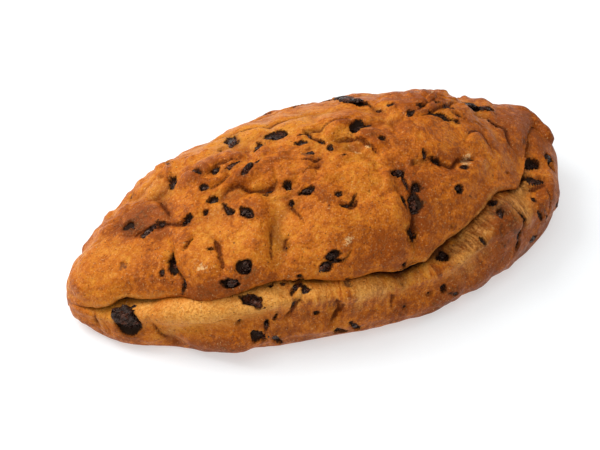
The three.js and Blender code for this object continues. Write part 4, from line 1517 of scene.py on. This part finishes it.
@dataclass
class Crust:
    """The loaf's crust as one closed surface, with its torn skin, folds, browning and painted crease shade.

    Places along the loaf are in mm from its middle, and steps is the columns in each span.
    """

    skin: Skin
    torn: TornSkin
    noise: LatticeNoise
    browning: Browning = field(default_factory=Browning)
    finish: CrustFinish = field(default_factory=CrustFinish)
    rows: int = 352
    tip_start: float = 0.004
    steps: tuple[int, ...] = (6, 12, 16, 16, 19, 8, 8, 18, 31, 35, 36, 32, 23, 16, 6)
    # the part of the crease that is painted black as shade
    black_depth: Range = (0.68, 0.6)
    black_depth_at: Range = (0.0, 20.0)
    black_from: Range = (-55.0, -25.0)
    shaded_from: Range = (-60.0, -5.0)
    shaded_depth: Range = (0.68, 0.96)
    pulled_from: Range = (-30.0, 32.0)
    slant: float = 0.35
    slant_from: Range = (30.0, 60.0)
    clods_from: Range = (40.0, 60.0)
    big_clods_from: Range = (72.0, 84.0)

    def grid(self) -> tuple[Array, Array]:
        """Rows evenly spaced along the loaf's outline and columns dense where the crust shows.

        A row's share of the way is the running length of (pi L/2 sin, pi B cos) of its angle.

        Returns:
            t of the rows and s of the columns, in spans.
        """
        fine = np.linspace(self.tip_start, 1 - self.tip_start, 4000)
        lines, angle = self.skin.lines, math.pi * fine
        way = np.cumsum(np.hypot(lines.length / 2 * np.sin(angle), lines.back_reach * np.cos(angle)))
        t = np.interp(np.linspace(way[0], way[-1], self.rows), way, fine)
        return t, np.concatenate([k + np.arange(n) / n for k, n in enumerate(self.steps)])

    def build(self) -> bpy.types.Object:
        """Works out the surface, puts it into a mesh and dresses it.

        Returns:
            The crust.
        """
        t, columns = self.grid()
        s = np.broadcast_to(columns, (len(t), len(columns)))
        at = self.skin.places(t, s)
        share = at.share
        grounded = smooth(0.0, self.skin.BASE_FADE, at.point[..., 2])
        broad, (detail, slit) = self.skin.relief(at), self.skin.detail(at)
        risen = at.point + at.out * (broad + detail)[..., None]
        torn, tear, stain, veiled = self.torn.at(risen)
        fibre, crumb, pulled = self.fibres(at)
        points = risen + at.out * ((torn + fibre) * grounded)[..., None]
        points[..., 2] = np.maximum(points[..., 2], 0.0)
        tips = [(points[row].max(0) + points[row].min(0)) / 2 for row in (0, -1)]
        made = object_from_arrays(
            "crust", np.concatenate([points.reshape(-1, 3), tips]), closed_rings(*s.shape))
        shown = np.maximum(share[Sheet.FLAP], share[Sheet.LAYER])
        # painted shade where the dough is folded in
        fold_shade = 0.7 * np.clip(-(detail + 0.35 * broad) / 2.5, 0, 1)
        attributes = {
            "toast": self.browning.at(at, broad, detail),
            "crumb": crumb,
            "pulled": pulled,
            "streaky": self.streaky(at) * share[Sheet.LAYER],
            # the crease's painted black shade is drawn as a tear
            "tear": np.minimum(FAR - (FAR - tear) * shown, self.outside_crease_shade(at)),
            "slit": FAR - (FAR - slit) * shown,
            "stain": stain * shown,
            "veiled": veiled * shown,
            "pale": summed(PALE_SPOTS, at.point[..., 0], at.over) * share[Sheet.FLAP],
            "painted_shade": np.maximum(fold_shade, self.shade_under_lip(at)) * shown,
        }
        for name, values in attributes.items():
            ends = [values[0].mean(), values[-1].mean()]
            add_attribute(made, name, np.concatenate([values.ravel(), ends]))
        way = self.along_fibres(at) * MM
        add_attribute(made, "fibre", np.concatenate([way.reshape(-1, 3), way[[0, -1], 0]]))
        made.data.materials.append(self.finish.material())
        return made

    def streaky(self, at: SkinPlaces) -> Array:
        """How far the lower layer's colour runs in streaks down it: most where the dough was pulled.

        Args:
            at: places on the skin.

        Returns:
            The share, from 0 to 1.
        """
        x = at.point[..., 0]
        middle = smooth(-70.0, -30.0, x) * (1.0 - smooth(80.0, 105.0, x))
        return middle * (1.0 - 0.65 * smooth(22.0, 36.0, at.down))

    def crease_depth(self, at: SkinPlaces) -> Array:
        """Depth of the crease, and a little more, in each row."""
        lines = self.skin.lines
        return lines.line(lines.crease, lines.crease_depth, at.t)[:, None] + 1.0

    def outside_crease_shade(self, at: SkinPlaces) -> Array:
        """Distance outside the black painted shade deep in the crease, which is a share of its depth.

        The share lessens towards the right, and there is no painted black on the left, where the crease is
        shallow.

        Args:
            at: places on the skin.

        Returns:
            Distances in mm, less than 0 within it.
        """
        x = at.point[..., 0]
        shallow = FAR * (1.0 - smooth(*self.black_from, x))
        share = np.interp(x, self.black_depth_at, self.black_depth)
        away = at.down - share * self.crease_depth(at) + shallow
        return np.where(at.s < self.skin.LIP_KEY - 0.5, np.minimum(away, FAR), FAR)

    def shade_under_lip(self, at: SkinPlaces) -> Array:
        """Painted shade of the crease under the lip: full inside it, gone a little before the lip.

        Args:
            at: places on the skin.

        Returns:
            Painted shade from 0 to 1.
        """
        strength = 0.2 + 0.8 * smooth(*self.shaded_from, at.point[..., 0])
        ragged = 0.16 * self.noise.layered(self.along_fibres(at) * (1.0, 0.3, 1.0), 3.4, 2, 5.2)
        shade = strength * (1.0 - smooth(*self.shaded_depth, at.down / self.crease_depth(at) + ragged))
        return shade * (at.s < self.skin.LIP_KEY - 0.5)

    def fibres(self, at: SkinPlaces) -> tuple[Array, Array, Array]:
        """Crumb that shows where the dough was torn or stretched, with pulled fibres on the right.

        The fibres are noise on places squeezed to a quarter down the layer. Clods of round noise
        lie between them where the crumb is torn. A broad noise clumps the pulled places.

        Args:
            at: places on the skin.

        Returns:
            Heights of the fibres, the share of crumb and how far it is pulled, from 0 to 1.
        """
        x, noise, share = at.point[..., 0], self.noise, at.share
        crumb = share[Sheet.LAYER] * summed(CRUMB_LAYER, x, at.down)
        crumb = np.maximum(crumb, share[Sheet.FLAP] * summed(CRUMB_FLAP, x, at.over))
        crumb = np.clip(crumb + 0.35 * crumb * noise.layered(at.point, 9.0, 3, 2.2), 0, 1)
        clumps = smooth(-0.35, 0.25, noise.at(at.point, 7.0, 3.3))
        pulled = smooth(*self.pulled_from, x) * (0.4 + 0.6 * clumps)
        strands = 0.5 * noise.layered(self.along_fibres(at) * (1.0, 0.25, 1.0), 2.4, 2, 1.1)
        big = 0.7 * smooth(*self.clods_from, x) + 1.6 * smooth(*self.big_clods_from, x)
        clods = noise.layered(at.point, 6.5, 3, 4.7) * big
        return (strands + clods) * crumb * pulled, crumb, pulled

    def along_fibres(self, at: SkinPlaces) -> Array:
        """The way across the fibres, which slant where the crumb is torn, the way down and 0."""
        x, down = at.point[..., 0], at.down
        return np.stack([x - self.slant * smooth(*self.slant_from, x) * down, down, 0 * down], -1)


@dataclass
class Raisins:
    """Every raisin as one mesh of wrinkled, squashed balls, sunk in the crust's tears. Sizes in mm."""

    raisins: list[Raisin]
    frames: RaisinFrames
    noise: LatticeNoise
    finish: RaisinFinish = field(default_factory=RaisinFinish)
    around: int = 36
    across: int = 18
    crowding: float = 1.3
    thickness: float = 0.62
    least_thickness: float = 3.2
    oversize: float = 1.2
    fuller: float = 0.016
    wrinkle: float = 0.34
    lumpy: float = 0.4
    seed_step: float = 11.7
    sunk: float = 0.35
    uneven_sunk: float = 0.35
    sunk_under_skin: float = 1.6
    covered: float = 0.7
    over_table: float = 0.4

    def ball(self) -> Array:
        """Points (sin v cos u, sin v sin u, cos v) of a ball, ring by ring, and its two poles.

        The rings crowd towards the pole that shows.

        Returns:
            Points of shape (n, 3).
        """
        u = np.arange(self.around) * 2 * math.pi / self.around
        v = math.pi * ((np.arange(self.across - 1) + 1) / self.across) ** self.crowding
        sides = (np.outer(np.sin(v), np.cos(u)), np.outer(np.sin(v), np.sin(u)))
        ball = np.stack([*sides, np.outer(np.cos(v), np.ones_like(u))], -1).reshape(-1, 3)
        return np.concatenate([ball, [[0, 0, 1.0], [0, 0, -1.0]]])

    def half_sizes(self) -> Array:
        """Half the length, width and thickness of each raisin, a little more than its tear's.

        A wide raisin fills its tear more, by the factor 1 + fuller * width.

        Returns:
            Half sizes of shape (n, 3).
        """
        rows = []
        for one in self.raisins:
            full = 1.0 + self.fuller * one.width
            thick = max(one.width * self.thickness, self.least_thickness)
            rows.append([one.length * full + self.oversize, one.width * full + self.oversize, thick])
        return np.array(rows) / 2

    def build(self) -> bpy.types.Object:
        """Works out all raisins at once and puts them into one mesh.

        Each is a ball whose radius is bent by soft noise and cut into by sharp folds of noise,
        scaled to its sizes. One that baked skin covers is left out.

        Returns:
            The raisins.
        """
        ball, size, frames = self.ball(), self.half_sizes(), self.frames
        count = np.arange(len(self.raisins))
        placed = ball[None] * size[:, None] + count[:, None, None] * self.seed_step
        folds = 0.7 * self.noise.ridged(placed, 3.2) + 0.5 * self.noise.ridged(placed, 1.7, 4.4)
        folds = self.wrinkle * folds - self.lumpy * self.noise.at(placed, 4.5, 2.9)
        local = ball[None] * size[:, None] * (1.0 - folds)[..., None]
        sunk = self.sunk + self.uneven_sunk * np.cos(GOLDEN_ANGLE * count)
        sunk = sunk + np.array([self.sunk_under_skin * one.cover - one.proud for one in self.raisins])
        centres = frames.centre - frames.out * (size[:, 2] + sunk)[:, None]
        axes = np.stack([frames.long, frames.wide, frames.out], 1)
        points = np.einsum("nki,nij->nkj", local, axes) + centres[:, None]
        points = points[[one.cover < self.covered for one in self.raisins]]
        points[..., 2] = np.maximum(points[..., 2], self.over_table)
        shift = (np.arange(len(points)) * len(ball))[:, None, None]
        quads, fans = closed_rings(self.across - 1, self.around)
        faces = [(quads + shift).reshape(-1, 4), (fans + shift).reshape(-1, 3)]
        made = object_from_arrays("raisins", points.reshape(-1, 3), faces)
        made.data.materials.append(self.finish.material())
        return made


@dataclass(frozen=True)
class Lamp:
    """A square soft light that faces the loaf. Angles in degrees, sizes in mm, power in watts."""

    name: str
    azimuth: float
    elevation: float
    away: float
    size: float
    power: float


@dataclass
class Studio:
    """Plain pale floor, soft light and a camera at the photo's angle. Sizes in mm."""

    azimuth: float = -19.8
    elevation: float = 44.8
    distance: float = 796.0
    target: tuple[float, float, float] = (-14.9, -8.2, 29.0)
    lens: float = 90.0
    floor_size: float = 6000.0
    floor_colour: Colour = (0.53, 0.555, 0.57, 1.0)
    floor_roughness: float = 0.9
    floor_glow: float = 0.49
    white: Colour = (1.0, 1.0, 1.0, 1.0)
    sky: float = 0.45
    lamps: tuple[Lamp, ...] = (Lamp("key", -130, 50, 1100, 700, 8.65), Lamp("top", -60, 78, 1000, 900, 4))

    def aim(self, data: bpy.types.ID, azimuth: float, elevation: float, away: float,
            target: tuple[float, float, float] = (0.0, 0.0, 0.0)) -> bpy.types.Object:
        """Puts a camera or a light into the scene so that it looks at a target.

        Args:
            data: the camera or the light.
            azimuth: degrees; 0 is in front, at -Y, and 90 at +X.
            elevation: degrees above the floor.
            away: distance from the target in mm.
            target: the target in mm.

        Returns:
            The new object.
        """
        a, e = math.radians(azimuth), math.radians(elevation)
        back = Vector((math.sin(a) * math.cos(e), -math.cos(a) * math.cos(e), math.sin(e)))
        made = bpy.data.objects.new(data.name, data)
        made.location = (Vector(target) + back * away) * MM
        made.rotation_euler = (-back).to_track_quat("-Z", "Y").to_euler()
        bpy.context.scene.collection.objects.link(made)
        return made

    def floor(self) -> None:
        """Makes the floor, which glows a little so that it stays pale."""
        half = self.floor_size / 2
        corners = np.array([[-half, -half, 0], [half, -half, 0], [half, half, 0], [-half, half, 0]])
        floor = object_from_arrays("floor", corners, [np.array([[0, 1, 2, 3]])], smooth_faces=False)
        floor.data.materials.append(Nodes("floor").shade({
            "Base Color": self.floor_colour,
            "Roughness": self.floor_roughness,
            "Emission Color": self.white,
            "Emission Strength": self.floor_glow,
        }))

    def build(self) -> None:
        """Makes the floor, the lights, the world's light and the camera."""
        self.floor()
        for lamp in self.lamps:
            data = bpy.data.lights.new(lamp.name, "AREA")
            data.size = lamp.size * MM
            data.energy = lamp.power
            self.aim(data, lamp.azimuth, lamp.elevation, lamp.away)
        scene = bpy.context.scene
        scene.world = bpy.data.worlds.new("world")
        scene.world.use_nodes = True
        background = scene.world.node_tree.nodes["Background"]
        background.inputs["Color"].default_value = self.white
        background.inputs["Strength"].default_value = self.sky
        scene.view_settings.view_transform = "Standard"
        camera = bpy.data.cameras.new("camera")
        camera.lens = self.lens
        scene.camera = self.aim(camera, self.azimuth, self.elevation, self.distance, self.target)


def centred(pieces: list[bpy.types.Object]) -> None:
    """Moves the pieces' points together so that the crust's box stands where the solid's box does.

    Args:
        pieces: the crust first, and the pieces that lie in it.
    """
    low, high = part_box(NODE)
    shift = None
    for piece in pieces:
        points = np.empty(len(piece.data.vertices) * 3, np.float32)
        piece.data.vertices.foreach_get("co", points)
        points = points.reshape(-1, 3)
        if shift is None:
            middle, foot = (points.min(0) + points.max(0)) / 2, points[:, 2].min()
            aside, back = (low.x + high.x) / 2 - middle[0], (low.y + high.y) / 2 - middle[1]
            shift = np.array([aside, back, low.z - foot])
        piece.data.vertices.foreach_set("co", (points + shift).astype(np.float32).ravel())
        piece.data.update()


def main() -> None:
    """Builds the loaf's pieces and the studio, attaches each piece to the body and hides the imported
    solid.
    """
    lines = LoafLines()
    noise = LatticeNoise(NOISE_SEED)
    skin = Skin(lines, Swell(), noise)
    raisins = RaisinPlaces(lines).all
    frames = RaisinFrames(skin, raisins)
    crust = Crust(skin, TornSkin(frames, raisins, noise), noise)
    pieces = [crust.build(), Raisins(raisins, frames, noise).build()]
    centred(pieces)
    for piece, slot in zip(pieces, ("crust", "raisin")):
        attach(piece, BODY)
        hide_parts(NODE)
        log.info("%s: %d faces", piece.name, len(piece.data.polygons))
    Studio().build()


if __name__ == "__main__":
    logging.basicConfig(level=logging.INFO)
    main()
